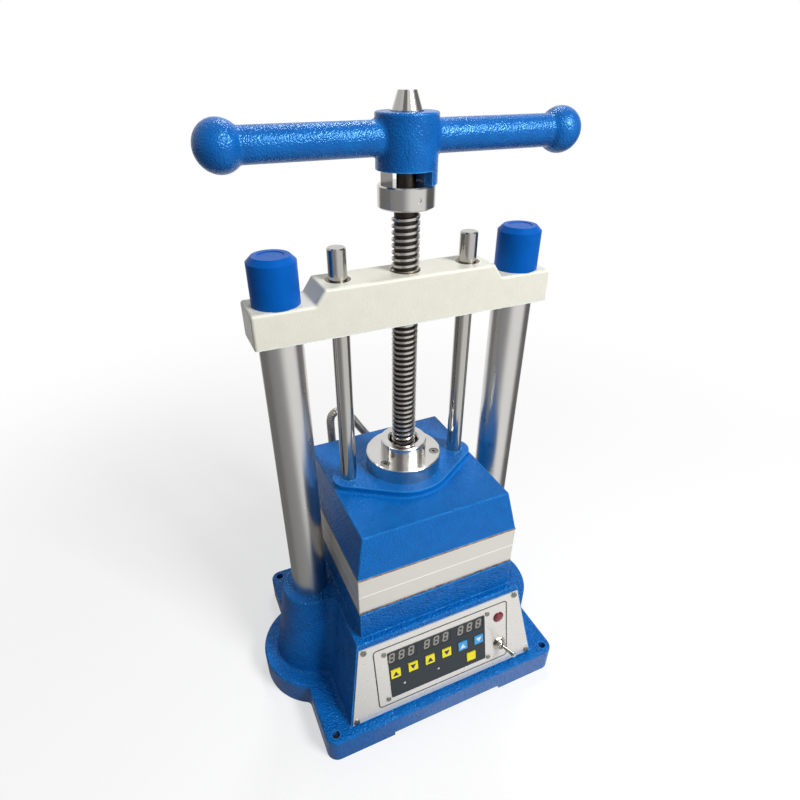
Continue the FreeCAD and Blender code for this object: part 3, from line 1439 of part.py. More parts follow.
def hose_route():
    """Points of the hose's route: up from the base gland, round an arch, down into the head gland."""
    start = FreeCAD.Vector(number("base_gland_x"),
                           number("press_axis_y + housing_back + gland_hex_height + gland_reach"),
                           number("base_gland_z + gland_socket_length"))
    lean = math.radians(number("head_gland_lean"))
    slope = FreeCAD.Vector(-math.sin(lean), 0, math.cos(lean))
    aside = FreeCAD.Vector(math.cos(lean), 0, math.sin(lean))
    elbow = FreeCAD.Vector(number("head_gland_x"),
                           number("press_axis_y + platen_back + gland_hex_height + gland_reach"),
                           number("head_gland_z"))
    end = elbow + slope * number("gland_socket_length")
    radius = number("hose_arch_radius")
    left = number("hose_leg_x")
    middle_z = end.z - (radius - (end.x - left - radius) * math.cos(lean)) / math.sin(lean)
    turn = (math.pi - lean) / 3
    run = 2 * radius * math.tan(turn / 2)
    arch = [FreeCAD.Vector(left, end.y, middle_z + run / 2)]
    for k in (1, 2):
        way = math.pi / 2 - k * turn
        arch.append(arch[-1] + FreeCAD.Vector(math.cos(way), 0, math.sin(way)) * run)
    foot = arch[0]
    climb = [FreeCAD.Vector(start.x + (left - start.x) * across, start.y + (end.y - start.y) * back,
                            start.z + (foot.z - start.z) * up)
             for up, across, back in ((0, 0, 0), (0.208, 0, 0), (0.416, 0.35, 0.2), (0.61, 0.9, 0.65),
                                      (0.775, 1.25, 0.95), (0.9, 1.05, 1))]
    fall = (end - arch[-1]).Length
    bow = number("hose_leg_bow")
    return [*climb, *arch, end + slope * (0.705 * fall) + aside * bow, end + slope * (0.35 * fall), end]


def route_pieces(points):
    """Straight runs joined by tangent arcs, each arc as large as its two runs allow."""
    pieces = []
    here = points[0]
    radii = []
    for before, corner, after in zip(points, points[1:], points[2:]):
        inward = (corner - before).normalize()
        outward = (after - corner).normalize()
        turn = inward.getAngle(outward)
        shorter = min((corner - before).Length, (after - corner).Length)
        radius = 0.45 * shorter / math.tan(turn / 2)
        setback = 0.45 * shorter
        start = corner - inward * setback
        end = corner + outward * setback
        towards = (outward - inward).normalize()
        centre = corner + towards * (radius / math.cos(turn / 2))
        middle = centre - towards * radius
        pieces.append(Part.LineSegment(here, start).toShape())
        pieces.append(Part.Arc(start, middle, end).toShape())
        radii.append(round(radius, 1))
        here = end
    pieces.append(Part.LineSegment(here, points[-1]).toShape())
    print("hose bend radii", radii)
    return pieces


def conduit_hose():
    """A ribbed tube: rings of four circles for each rib, ruled one to the next, with a bore."""
    pieces = route_pieces(hose_route())
    lengths = [piece.Length for piece in pieces]
    total = sum(lengths)
    outer = number("hose_radius")
    inner = number("hose_bore_radius")
    valley = outer - number("hose_groove")
    collar = 2 * outer
    ribs = int((total - 2 * collar) / number("hose_rib_pitch"))
    pitch = (total - 2 * collar) / ribs

    def at(distance):
        """The point and the direction at a distance along the route."""
        for piece, length in zip(pieces, lengths):
            if distance <= length + 1e-6:
                place = piece.getParameterByLength(min(distance, length))
                return piece.valueAt(place), piece.tangentAt(place)
            distance -= length
        last = pieces[-1]
        return last.valueAt(last.LastParameter), last.tangentAt(last.LastParameter)

    def circle(distance, radius):
        point, along = at(distance)
        across = FreeCAD.Vector(1, 0, 0) if abs(along.x) < 0.8 else FreeCAD.Vector(0, 0, 1)
        across = (across - along * across.dot(along)).normalize()
        frame = FreeCAD.Matrix(*across, 0, *along.cross(across), 0, *along, 0, 0, 0, 0, 1)
        frame.transpose()
        ring = Part.Circle(FreeCAD.Vector(0, 0, 0), FreeCAD.Vector(0, 0, 1), radius).toShape()
        ring = Part.Wire(ring)
        ring.Placement = FreeCAD.Placement(point, FreeCAD.Placement(frame).Rotation)
        return ring

    stations = [(0, valley), (collar, valley)]
    for k in range(ribs):
        foot = collar + k * pitch
        stations += [(foot + 0.2 * pitch, outer), (foot + 0.6 * pitch, outer),
                     (foot + 0.8 * pitch, valley), (foot + pitch, valley)]
    stations.append((total, valley))
    skin = Part.makeLoft([circle(d, r) for d, r in stations], True, True)
    bore_stations = [k * total / 40 for k in range(41)]
    bore = Part.makeLoft([circle(d, inner) for d in bore_stations], True, True)
    hose = doc.addObject("Part::Feature", "conduit_hose")
    hose.Shape = skin.cut(bore)
    section = math.pi * ((outer + valley) ** 2 / 4 - inner ** 2)
    print("hose length", round(total, 1), "ribs", ribs, "volume", round(hose.Shape.Volume),
          "section times length", round(section * total))
    return hose


def mains_gland():
    body = turned("mains_gland", [
        ("mains_gland_bore", "-housing_wall - 6"), ("mains_gland_radius", "-housing_wall - 6"),
        ("mains_gland_radius", "0"), ("mains_gland_radius + 4", "0"), ("mains_gland_radius + 4", "5"),
        ("mains_gland_radius", "5"), ("mains_gland_radius", "mains_gland_length - 4"),
        ("mains_gland_radius - 2", "mains_gland_length"), ("mains_gland_bore", "mains_gland_length"),
    ])
    return put(body, "mains_gland_x", "housing_back", "mains_gland_z", AXIS_TURNS["back"])


def fuse_holder():
    body = turned("fuse_holder", [
        ("0", "-housing_wall - 20"), ("fuse_radius", "-housing_wall - 20"), ("fuse_radius", "0"),
        ("fuse_radius + 2.5", "0"), ("fuse_radius + 2.5", "3"), ("fuse_radius - 0.5", "3"),
        ("fuse_radius - 0.5", "fuse_length - 1"), ("fuse_radius - 1.5", "fuse_length"),
        ("0", "fuse_length"),
    ])
    return put(body, "fuse_x", "housing_back", "fuse_z", AXIS_TURNS["back"])


nodes = {
    "base_casting": base_casting(),
    "bottom_cover": bottom_cover(),
    "case_screws": case_screws(),
    "lower_insulation": insulation("lower_insulation", BLOCK_TOP),
    "lower_platen": platen("lower_platen", LOWER_PLATEN_FOOT),
    "lower_heaters": heaters("lower_heaters", LOWER_PLATEN_FOOT),
    "lower_sensor": sensor("lower_sensor", LOWER_PLATEN_FOOT),
    "lower_platen_screws": platen_screws("lower_platen_screws", f"{BLOCK_TOP} - platen_screw_grip + 2"),
    "left_column": column("left_column", "-1"),
    "right_column": column("right_column", "1"),
    "column_foot_nuts": column_nuts("column_foot_nuts", "foot_nut_flats", "foot_nut_height",
                                    "column_foot_radius", "foot_nut_rise - foot_nut_height"),
    "column_top_nuts": column_nuts("column_top_nuts", "top_nut_flats", "top_nut_height",
                                   "column_top_radius", BEAM_END_TOP),
    "column_caps": column_caps(),
    "cross_beam": cross_beam(),
    "screw_nut": screw_nut(),
    "guide_bushes": guide_bushes(),
    "control_panel": control_panel(),
    "display_membrane": display_membrane(),
    "membrane_screws": membrane_screws(),
    "board_spacers": spacers(),
    "control_board": control_board(),
    "number_displays": number_displays(),
    "indicator_leds": indicator_leds(),
    "transformer": transformer(),
    "heater_relays": relays(),
    "terminal_block": terminal_block(),
    "base_hose_gland": elbow_gland("base_hose_gland", "base_gland_x", "housing_back", "base_gland_z",
                                   "housing_wall"),
    "head_hose_gland": elbow_gland("head_hose_gland", "head_gland_x", "platen_back", "head_gland_z",
                                   "head_gland_depth", "head_gland_lean"),
    "conduit_hose": conduit_hose(),
    "mains_gland": mains_gland(),
    "fuse_holder": fuse_holder(),
    "head_casting": head_casting(),
    "upper_insulation": insulation("upper_insulation", UPPER_PLATEN_TOP),
    "upper_platen": platen("upper_platen", UPPER_PLATEN_FOOT),
    "upper_heaters": heaters("upper_heaters", UPPER_PLATEN_FOOT),
    "upper_sensor": sensor("upper_sensor", UPPER_PLATEN_FOOT),
    "upper_platen_screws": platen_screws("upper_platen_screws",
                                         f"{UPPER_PLATEN_TOP} - platen_screw_grip + 2"),
    "left_guide_rod": guide_rod("left_guide_rod", "-1"),
    "right_guide_rod": guide_rod("right_guide_rod", "1"),
    "thrust_bearing": thrust_bearing(),
    "thrust_cap": thrust_cap(),
    "thrust_cap_screws": thrust_cap_screws(),
    "lead_screw": lead_screw(),
    "drive_collar": drive_collar(),
    "collar_pins": collar_pins(),
    "tip_nut": tip_nut(),
    "handle_casting": turned_about_screw("handle_casting", handle_casting()),
    "hub_bush": hub_bush(),
}
for name, (x, y) in KEYS.items():
    nodes[name] = key(name, x, y)
nodes["lamp_holder"], nodes["lamp_lens"] = lamp()
nodes["toggle_body"], nodes["toggle_nut"], nodes["toggle_lever"] = toggle_switch()

doc.recompute()
faults = [thing.Name for thing in doc.Objects if {"Invalid", "Error"} & set(thing.State)]
for name, thing in nodes.items():
    thing.Label = name
    if thing.Shape.isNull() or not thing.Shape.isValid() or not thing.Shape.Solids:
        faults.append(name)
if faults:
    raise RuntimeError("not built: " + ", ".join(faults))
for name, thing in nodes.items():
    thing.Shape.exportStep(f"parts/{name}.step")
    box = thing.Shape.BoundBox
    print(f"{name}: {len(thing.Shape.Solids)} solids, {thing.Shape.Volume:.0f} mm3, "
          f"x {box.XMin:.1f}..{box.XMax:.1f} y {box.YMin:.1f}..{box.YMax:.1f} "
          f"z {box.ZMin:.1f}..{box.ZMax:.1f}")
print(len(nodes), "nodes")
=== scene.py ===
# %% [markdown]
# A vulcanizer is a small screw press that cures rubber moulds between two heated plates.
# The machine's hard parts already exist as a measured solid model. This script dresses
# that model: it gives each part its own finish, adds the small pieces that a solid model
# leaves plain, and sets up the light and the camera. Lengths are metres throughout.

# %% Load the measured model
import math

import bmesh
import bpy
from mathutils import Matrix, Vector


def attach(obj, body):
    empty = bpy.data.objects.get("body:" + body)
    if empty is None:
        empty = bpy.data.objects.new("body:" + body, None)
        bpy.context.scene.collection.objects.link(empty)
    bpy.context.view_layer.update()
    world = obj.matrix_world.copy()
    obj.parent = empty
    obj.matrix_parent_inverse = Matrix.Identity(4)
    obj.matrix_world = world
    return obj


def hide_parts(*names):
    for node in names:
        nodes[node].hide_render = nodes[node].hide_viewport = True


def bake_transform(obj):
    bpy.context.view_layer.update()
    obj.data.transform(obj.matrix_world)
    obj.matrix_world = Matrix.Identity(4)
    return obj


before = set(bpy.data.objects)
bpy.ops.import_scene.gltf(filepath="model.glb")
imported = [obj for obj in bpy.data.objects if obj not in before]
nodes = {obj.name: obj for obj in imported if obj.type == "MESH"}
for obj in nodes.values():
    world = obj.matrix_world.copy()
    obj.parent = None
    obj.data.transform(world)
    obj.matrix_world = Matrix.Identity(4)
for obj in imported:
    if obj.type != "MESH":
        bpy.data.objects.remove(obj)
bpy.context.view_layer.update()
MM = 0.001
PRESS_AXIS_Y = 3.5 * MM

# %% [markdown]
# New pieces are modelled with bmesh, Blender's mesh editing tool for scripts. Each one ends
# up as an object that sits at the origin with its place kept in its mesh, so that patterns
# on Object coordinates stay put, and it rides on the body that carries it on the machine.

# %% Turn a bmesh into a finished piece
def finished_piece(name, bm, body, finish, smooth_angle=40):
    """Makes an object of a bmesh, shades it and lets it ride on a body."""
    mesh = bpy.data.meshes.new(name)
    bm.to_mesh(mesh)
    bm.free()
    mesh.materials.append(finish)
    piece = bpy.data.objects.new(name, mesh)
    bpy.context.scene.collection.objects.link(piece)
    for polygon in mesh.polygons:
        polygon.use_smooth = smooth_angle > 0
    if smooth_angle > 0:
        mesh.set_sharp_from_angle(angle=math.radians(smooth_angle))
    if body:
        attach(piece, body)
    print("made", name, len(mesh.polygons), "faces")
    return piece


# %% [markdown]
# The control panel leans back by 11.4 degrees. Its small pieces are easiest to lay out flat,
# as on a drawing, and to tilt as the last step. This matrix takes a point given as
# (across, up the slope, out of the face) to its place on the machine.

# %% Lay out pieces on the sloping panel
PANEL_TILT = math.radians(11.4)
PANEL_FOOT = Vector((0, -133.247 * MM, 38.9 * MM))
up_slope = Vector((0, math.sin(PANEL_TILT), math.cos(PANEL_TILT)))
outward = Vector((0, -math.cos(PANEL_TILT), math.sin(PANEL_TILT)))
PANEL = Matrix.Translation(PANEL_FOOT) @ Matrix((
    (1, up_slope.x, outward.x, 0),
    (0, up_slope.y, outward.y, 0),
    (0, up_slope.z, outward.z, 0),
    (0, 0, 0, 1)))
print("panel's middle:", [round(v, 4) for v in PANEL @ Vector((0, 0.054, 0))])


def flat_plate(width, height, thickness, corner=0.0, steps=5):
    """A bmesh of a thin plate that stands on the origin, with rounded or cut corners."""
    plate = bmesh.new()
    bmesh.ops.create_grid(plate, x_segments=1, y_segments=1, size=0.5)
    bmesh.ops.scale(plate, vec=(width, height, 1), verts=plate.verts)
    if corner:
        bmesh.ops.bevel(plate, geom=plate.verts[:], offset=corner, offset_type="OFFSET", segments=steps,
                        profile=0.5, affect="VERTICES", material=-1)
    if thickness:
        bmesh.ops.solidify(plate, geom=plate.faces[:], thickness=-thickness)
        bmesh.ops.recalc_face_normals(plate, faces=plate.faces)
    return plate


def add_part(target, part, place):
    """Moves a bmesh to its place and adds it to another one."""
    bmesh.ops.transform(part, matrix=place, verts=part.verts)
    carrier = bpy.data.meshes.new("carrier")
    part.to_mesh(carrier)
    part.free()
    target.from_mesh(carrier)
    bpy.data.meshes.remove(carrier)


# %% [markdown]
# Finishes that several materials share become shader node groups. The first one imitates
# thick enamel over a sand casting: it dries with a fine "orange peel" on top of the slow
# waves of the rough iron. The group puts out a height, which a Bump node turns into shading.

# %% Shader group: orange peel
def new_group(name, inputs, outputs):
    """A shader node group; inputs and outputs are (name, kind, default) and (name, kind)."""
    group = bpy.data.node_groups.new(name, "ShaderNodeTree")
    for label, kind, default in inputs:
        socket = group.interface.new_socket(label, in_out="INPUT", socket_type="NodeSocket" + kind)
        if default is not None:
            socket.default_value = default
    for label, kind in outputs:
        group.interface.new_socket(label, in_out="OUTPUT", socket_type="NodeSocket" + kind)
    source = group.nodes.new("NodeGroupInput")
    target = group.nodes.new("NodeGroupOutput")
    return group, source, target


def calculation(tree, operation, first, second=None):
    """A Math node; each operand is a socket or a number."""
    node = tree.nodes.new("ShaderNodeMath")
    node.operation = operation
    for socket, value in zip(node.inputs, (first, second)):
        if value is None:
            continue
        if isinstance(value, (int, float)):
            socket.default_value = value
        else:
            tree.links.new(value, socket)
    return node.outputs[0]


def distance_from_upright(tree, vector):
    """How far a point is from the upright axis, and how high it is."""
    parts = tree.nodes.new("ShaderNodeSeparateXYZ")
    tree.links.new(vector, parts.inputs[0])
    squares = [calculation(tree, "POWER", calculation(tree, "ABSOLUTE", parts.outputs[k]), 2.0)
               for k in (0, 1)]
    return calculation(tree, "SQRT", calculation(tree, "ADD", *squares)), parts.outputs[2]


def noise(tree, vector, scale, detail=2.0, roughness=0.5):
    """A Noise Texture node; scale is a socket or a number."""
    node = tree.nodes.new("ShaderNodeTexNoise")
    tree.links.new(vector, node.inputs["Vector"])
    if isinstance(scale, (int, float)):
        node.inputs["Scale"].default_value = scale
    else:
        tree.links.new(scale, node.inputs["Scale"])
    node.inputs["Detail"].default_value = detail
    node.inputs["Roughness"].default_value = roughness
    return node.outputs["Fac"]


peel, peel_in, peel_out = new_group(
    "orange_peel",
    [("Vector", "Vector", None), ("Grain per metre", "Float", 300.0), ("Waves", "Float", 0.5)],
    [("Height", "Float"), ("Mottle", "Float")])
drops = peel.nodes.new("ShaderNodeTexVoronoi")
drops.feature = "SMOOTH_F1"
drops.inputs["Smoothness"].default_value = 0.6
peel.links.new(peel_in.outputs["Vector"], drops.inputs["Vector"])
peel.links.new(peel_in.outputs["Grain per metre"], drops.inputs["Scale"])
domes = calculation(peel, "SUBTRACT", 1.0, drops.outputs["Distance"])
fine_scale = calculation(peel, "MULTIPLY", peel_in.outputs["Grain per metre"], 0.8)
fine = noise(peel, peel_in.outputs["Vector"], fine_scale, 2.0, 0.5)
slow_scale = calculation(peel, "MULTIPLY", peel_in.outputs["Grain per metre"], 0.12)
slow = noise(peel, peel_in.outputs["Vector"], slow_scale, 2.0, 0.5)
waves = calculation(peel, "MULTIPLY", slow, peel_in.outputs["Waves"])
small = calculation(peel, "ADD", domes, fine)
peel.links.new(calculation(peel, "ADD", small, waves), peel_out.inputs["Height"])
peel.links.new(slow, peel_out.inputs["Mottle"])
print("group:", peel.name)

# %% [markdown]
# Machined metal shows the path of the tool. Ground and brushed faces carry straight lines,
# turned faces carry rings around the lathe's axis. Both are noise that varies quickly in one
# direction only. The straight kind stretches its coordinates, the round kind reads the
# distance from the upright axis and the height.

# %% Shader groups: tool marks
lines_group, lines_in, lines_out = new_group(
    "ground_lines",
    [("Vector", "Vector", None), ("Lines per metre", "Vector", (20.0, 20.0, 3000.0))],
    [("Height", "Float"), ("Smudge", "Float")])
stretched = lines_group.nodes.new("ShaderNodeVectorMath")
stretched.operation = "MULTIPLY"
lines_group.links.new(lines_in.outputs["Vector"], stretched.inputs[0])
lines_group.links.new(lines_in.outputs["Lines per metre"], stretched.inputs[1])
lines_group.links.new(noise(lines_group, stretched.outputs[0], 1.0, 3.0, 0.6), lines_out.inputs["Height"])
lines_group.links.new(noise(lines_group, lines_in.outputs["Vector"], 45.0, 4.0, 0.6),
                      lines_out.inputs["Smudge"])

rings_group, rings_in, rings_out = new_group(
    "turned_rings",
    [("Vector", "Vector", None), ("Rings per metre", "Float", 1800.0)],
    [("Height", "Float"), ("Smudge", "Float")])
along = rings_group.nodes.new("ShaderNodeCombineXYZ")
for k, measure in enumerate(distance_from_upright(rings_group, rings_in.outputs["Vector"])):
    rings_group.links.new(calculation(rings_group, "MULTIPLY", measure, rings_in.outputs["Rings per metre"]),
                          along.inputs[k])
rings_group.links.new(noise(rings_group, along.outputs[0], 1.0, 2.0, 0.6), rings_out.inputs["Height"])
rings_group.links.new(noise(rings_group, rings_in.outputs["Vector"], 60.0, 3.0, 0.6),
                      rings_out.inputs["Smudge"])
print("groups:", lines_group.name, rings_group.name)


# %% [markdown]
# Every finish starts from the Principled shader. Numbers that are the same all over the
# surface go straight onto its sockets. Only what changes from place to place is wired in:
# a ramp that varies the colour a little, another that varies the roughness, and a bump.

# %% Helpers for materials
def new_finish(name, colour, roughness, metallic=0.0, **sockets):
    """A material whose Principled shader has these values; returns it with its tree and shader."""
    finish = bpy.data.materials.new(name)
    finish.use_nodes = True
    tree = finish.node_tree
    shader = tree.nodes["Principled BSDF"]
    shader.inputs["Base Color"].default_value = (*colour, 1)
    shader.inputs["Roughness"].default_value = roughness
    shader.inputs["Metallic"].default_value = metallic
    for label, value in sockets.items():
        shader.inputs[label.replace("_", " ")].default_value = value
    return finish, tree, shader


def object_place(tree, centre=None):
    """Object coordinates, moved so that a pattern is centred on this point."""
    place = tree.nodes.new("ShaderNodeTexCoord").outputs["Object"]
    if centre is None:
        return place
    mapping = tree.nodes.new("ShaderNodeMapping")
    mapping.vector_type = "TEXTURE"
    mapping.inputs["Location"].default_value = centre
    tree.links.new(place, mapping.inputs["Vector"])
    return mapping.outputs["Vector"]


def use_group(tree, group, vector, **values):
    """Places a node group in a material with its own values."""
    node = tree.nodes.new("ShaderNodeGroup")
    node.node_tree = group
    tree.links.new(vector, node.inputs["Vector"])
    for label, value in values.items():
        node.inputs[label.replace("_", " ")].default_value = value
    return node.outputs


def colour_between(tree, factor, dark, light, low=0.3, high=0.7):
    """A colour that runs from dark to light as the factor rises from low to high."""
    ramp = tree.nodes.new("ShaderNodeValToRGB")
    ramp.color_ramp.elements[0].position = low
    ramp.color_ramp.elements[0].color = (*dark, 1)
    ramp.color_ramp.elements[1].position = high
    ramp.color_ramp.elements[1].color = (*light, 1)
    tree.links.new(factor, ramp.inputs[0])
    return ramp.outputs[0]


def vary_colour(tree, shader, factor, dark, light, low=0.3, high=0.7):
    """Base Color runs from dark to light as the factor rises from low to high."""
    tree.links.new(colour_between(tree, factor, dark, light, low, high), shader.inputs["Base Color"])


def vary_roughness(tree, shader, factor, smooth, rough, low=0.3, high=0.7):
    """Roughness runs from smooth to rough as the factor rises from low to high."""
    spread = tree.nodes.new("ShaderNodeMapRange")
    spread.inputs["From Min"].default_value = low
    spread.inputs["From Max"].default_value = high
    spread.inputs["To Min"].default_value = smooth
    spread.inputs["To Max"].default_value = rough
    tree.links.new(factor, spread.inputs["Value"])
    tree.links.new(spread.outputs["Result"], shader.inputs["Roughness"])


def add_bump(tree, shader, height, depth):
    """Shades a height field of this depth, in metres."""
    bump = tree.nodes.new("ShaderNodeBump")
    bump.inputs["Strength"].default_value = 1.0
    bump.inputs["Distance"].default_value = depth
    tree.links.new(height, bump.inputs["Height"])
    tree.links.new(bump.outputs["Normal"], shader.inputs["Normal"])


# %% [markdown]
# The castings are sprayed in a strong blue enamel. It is smooth enough to mirror the lamps,
# and its orange peel breaks each highlight into small flecks. A low specular level keeps the
# blue deep elsewhere. The base is the roughest casting, the head was rubbed down flatter, and
# the handle has a fine hammered look. Along sharp edges a paler colour is mixed in. This is a
# painted highlight, standing in for the thin line of light that a rounded edge catches. A Bevel
# node finds the edges: its normal departs from the surface's own normal only near an edge.

# %% Blue and cream enamel
BLUE_SHEEN = (0.22, 0.6, 1.0, 1)
WHITE_SHEEN = (1, 1, 1, 1)
EDGE_WIDTH = 2 * MM
EDGE_GAIN = 12.0
EDGE_MOST = 0.6
# How much lighter the colour is along edges: a painted highlight.
EDGE_HIGHLIGHT = (0.06, 0.24, 0.34)


def painted_edge_highlight(tree):
    """A mask that rises along sharp edges, where a highlight is painted."""
    rounded = tree.nodes.new("ShaderNodeBevel")
    rounded.samples = 6
    rounded.inputs["Radius"].default_value = EDGE_WIDTH
    turned = tree.nodes.new("ShaderNodeVectorMath")
    turned.operation = "DOT_PRODUCT"
    tree.links.new(rounded.outputs[0], turned.inputs[0])
    tree.links.new(tree.nodes.new("ShaderNodeNewGeometry").outputs["Normal"], turned.inputs[1])
    departure = calculation(tree, "SUBTRACT", 1.0, turned.outputs["Value"])
    return calculation(tree, "MINIMUM", calculation(tree, "MULTIPLY", departure, EDGE_GAIN), EDGE_MOST)


def enamel(name, dark, light, roughness, grain, waves, depth, level, sheen=BLUE_SHEEN):
    """Sprayed paint with an orange peel of this grain, waves and depth."""
    finish, tree, shader = new_finish(name, light, roughness, Specular_IOR_Level=level, Specular_Tint=sheen)
    texture = use_group(tree, peel, object_place(tree), Grain_per_metre=grain, Waves=waves)
    # Along edges the colour is mixed towards a lighter one: a painted highlight.
    pale = tree.nodes.new("ShaderNodeMix")
    pale.data_type = "RGBA"
    pale.inputs["B"].default_value = (*(min(1.0, c + more) for c, more in zip(light, EDGE_HIGHLIGHT)), 1)
    tree.links.new(painted_edge_highlight(tree), pale.inputs["Factor"])
    tree.links.new(colour_between(tree, texture["Mottle"], dark, light), pale.inputs["A"])
    tree.links.new(pale.outputs["Result"], shader.inputs["Base Color"])
    vary_roughness(tree, shader, texture["Mottle"], roughness - 0.04, roughness + 0.06)
    add_bump(tree, shader, texture["Height"], depth)
    return finish


base_enamel = enamel("base_blue_enamel", (0.001, 0.100, 0.39), (0.001, 0.130, 0.47),
                     0.17, 430.0, 1.0, 0.0014, 0.42)
head_enamel = enamel("head_blue_enamel", (0.001, 0.112, 0.42), (0.001, 0.130, 0.47),
                     0.17, 620.0, 1.0, 0.00065, 0.30)
handle_enamel = enamel("handle_blue_enamel", (0.001, 0.088, 0.36), (0.001, 0.115, 0.43),
                       0.26, 650.0, 0.9, 0.00036, 0.8)
beam_enamel = enamel("beam_cream_enamel", (0.69, 0.675, 0.585), (0.72, 0.705, 0.615),
                     0.34, 700.0, 0.8, 0.0001, 0.3, WHITE_SHEEN)
print("enamels:", base_enamel.name, head_enamel.name, handle_enamel.name, beam_enamel.name)

# %% [markdown]
# The bare metal falls into a few families. The columns and rods are ground and polished, so
# they mirror the room in tall streaks. The plates are ground flat, with fine level lines.
# The thrust cap and the collar come off a lathe, and the screw is cut dark and greasy.

# %% Bare metals
AXIS = (0, PRESS_AXIS_Y, 0)


def lined_metal(name, colour, smooth, rough, per_metre, depth, metallic=1.0):
    """Ground or brushed metal: straight lines, so many to the metre along each axis."""
    finish, tree, shader = new_finish(name, colour, smooth, metallic)
    marks = use_group(tree, lines_group, object_place(tree), Lines_per_metre=per_metre)
    vary_roughness(tree, shader, marks["Smudge"], smooth, rough)
    add_bump(tree, shader, marks["Height"], depth)
    return finish


def turned_metal(name, colour, smooth, rough, per_metre, depth):
    """Metal from the lathe: rings round the press axis."""
    finish, tree, shader = new_finish(name, colour, smooth, 1.0)
    marks = use_group(tree, rings_group, object_place(tree, AXIS), Rings_per_metre=per_metre)
    vary_roughness(tree, shader, marks["Smudge"], smooth, rough)
    add_bump(tree, shader, marks["Height"], depth)
    return finish


column_steel = lined_metal("column_steel", (0.64, 0.63, 0.605), 0.26, 0.32, (12.0, 12.0, 2600.0), 0.000008)
rod_steel = lined_metal("rod_steel", (0.48, 0.47, 0.445), 0.12, 0.18, (10.0, 10.0, 3000.0), 0.000006)
plate_metal = lined_metal("plate_metal", (0.74, 0.715, 0.66), 0.34, 0.48, (14.0, 14.0, 2200.0), 0.00005, 0.55)
cap_steel = turned_metal("cap_steel", (0.60, 0.59, 0.57), 0.16, 0.24, 2200.0, 0.00002)
dark_steel = turned_metal("dark_steel", (0.24, 0.235, 0.22), 0.26, 0.40, 2200.0, 0.00002)
zinc_steel = lined_metal("zinc_steel", (0.25, 0.24, 0.22), 0.20, 0.30, (900.0, 900.0, 900.0), 0.00001)
chrome = turned_metal("polished_chrome", (0.56, 0.55, 0.52), 0.08, 0.14, 1500.0, 0.000005)
nickel = turned_metal("aged_nickel", (0.42, 0.40, 0.36), 0.14, 0.24, 1500.0, 0.00001)
bronze = turned_metal("turned_bronze", (0.17, 0.13, 0.08), 0.25, 0.40, 2000.0, 0.00003)
print("metals:", column_steel.name, rod_steel.name, plate_metal.name, cap_steel.name)

# %% [markdown]
# A white line runs where the two plates meet. It is a painted highlight that stands in for the
# light the plates' edges catch there. It shows when the press is shut, and the faces there are
# as white when it is open. The finish reads the height, takes its distance from the seam in
# millimetres, and runs from nearly white to the plates' own colour over a fraction of a millimetre.

# %% Painted highlight where the plates meet
SEAM = 217.95 * MM
WHITE_TO = 0.65
PLAIN_FROM = 0.85
tree = plate_metal.node_tree
heights = tree.nodes.new("ShaderNodeSeparateXYZ")
tree.links.new(object_place(tree), heights.inputs[0])
from_seam = calculation(tree, "ABSOLUTE", calculation(tree, "SUBTRACT", heights.outputs[2], SEAM))
# Nearly white at the seam: a painted highlight.
vary_colour(tree, tree.nodes["Principled BSDF"], calculation(tree, "MULTIPLY", from_seam, 1 / MM),
            (1.0, 0.99, 0.97), (0.70, 0.675, 0.62), WHITE_TO, PLAIN_FROM)
print("bright line at height:", round(SEAM, 5))

# %% [markdown]
# The thread is darker and rougher towards its roots and bright on its crests. The distance from
# the screw's axis tells root from crest, and a noise breaks the border into patches.

# %% Thread darker towards its roots
THREAD_ROOT = 11.0 * MM
THREAD_CREST = 13.4 * MM
thread_steel, tree, shader = new_finish("thread_steel", (0.30, 0.28, 0.25), 0.28, 0.95)
place = object_place(tree, AXIS)
depth_in_thread = tree.nodes.new("ShaderNodeMapRange")
depth_in_thread.inputs["From Min"].default_value = THREAD_ROOT
depth_in_thread.inputs["From Max"].default_value = THREAD_CREST
tree.links.new(distance_from_upright(tree, place)[0], depth_in_thread.inputs["Value"])
patch_noise = noise(tree, place, 160.0, 3.0, 0.6)
crest = calculation(tree, "MULTIPLY", depth_in_thread.outputs["Result"],
                    calculation(tree, "ADD", patch_noise, 0.45))
# Dark in the roots and bright on the crests, broken into patches.
vary_colour(tree, shader, crest, (0.050, 0.042, 0.034), (0.56, 0.54, 0.51), 0.20, 0.80)
vary_roughness(tree, shader, crest, 0.42, 0.24, 0.2, 0.9)
add_bump(tree, shader, patch_noise, 0.00008)
print("made", thread_steel.name)

# %% [markdown]
# The rest are plastics, board and sheet. The sheet that carries the controls is satin
# stainless steel, bright and nearly even, with a fine grain across it. The film over the
# displays is slate grey, and the caps on the columns are soft blue plastic. The insulation is
# pressed board with uneven brown fibres, and the hose's metal is dull with dust.

# %% Plastics, sheet and board
def moulded(name, colour, roughness, grain, depth, **sockets):
    """Moulded or printed plastic with a faint grain."""
    finish, tree, shader = new_finish(name, colour, roughness, **sockets)
    texture = use_group(tree, peel, object_place(tree), Grain_per_metre=grain, Waves=0.4)
    dark = tuple(0.88 * value for value in colour)
    vary_colour(tree, shader, texture["Mottle"], dark, colour, 0.25, 0.75)
    vary_roughness(tree, shader, texture["Mottle"], roughness - 0.04, roughness + 0.06)
    add_bump(tree, shader, texture["Height"], depth)
    return finish


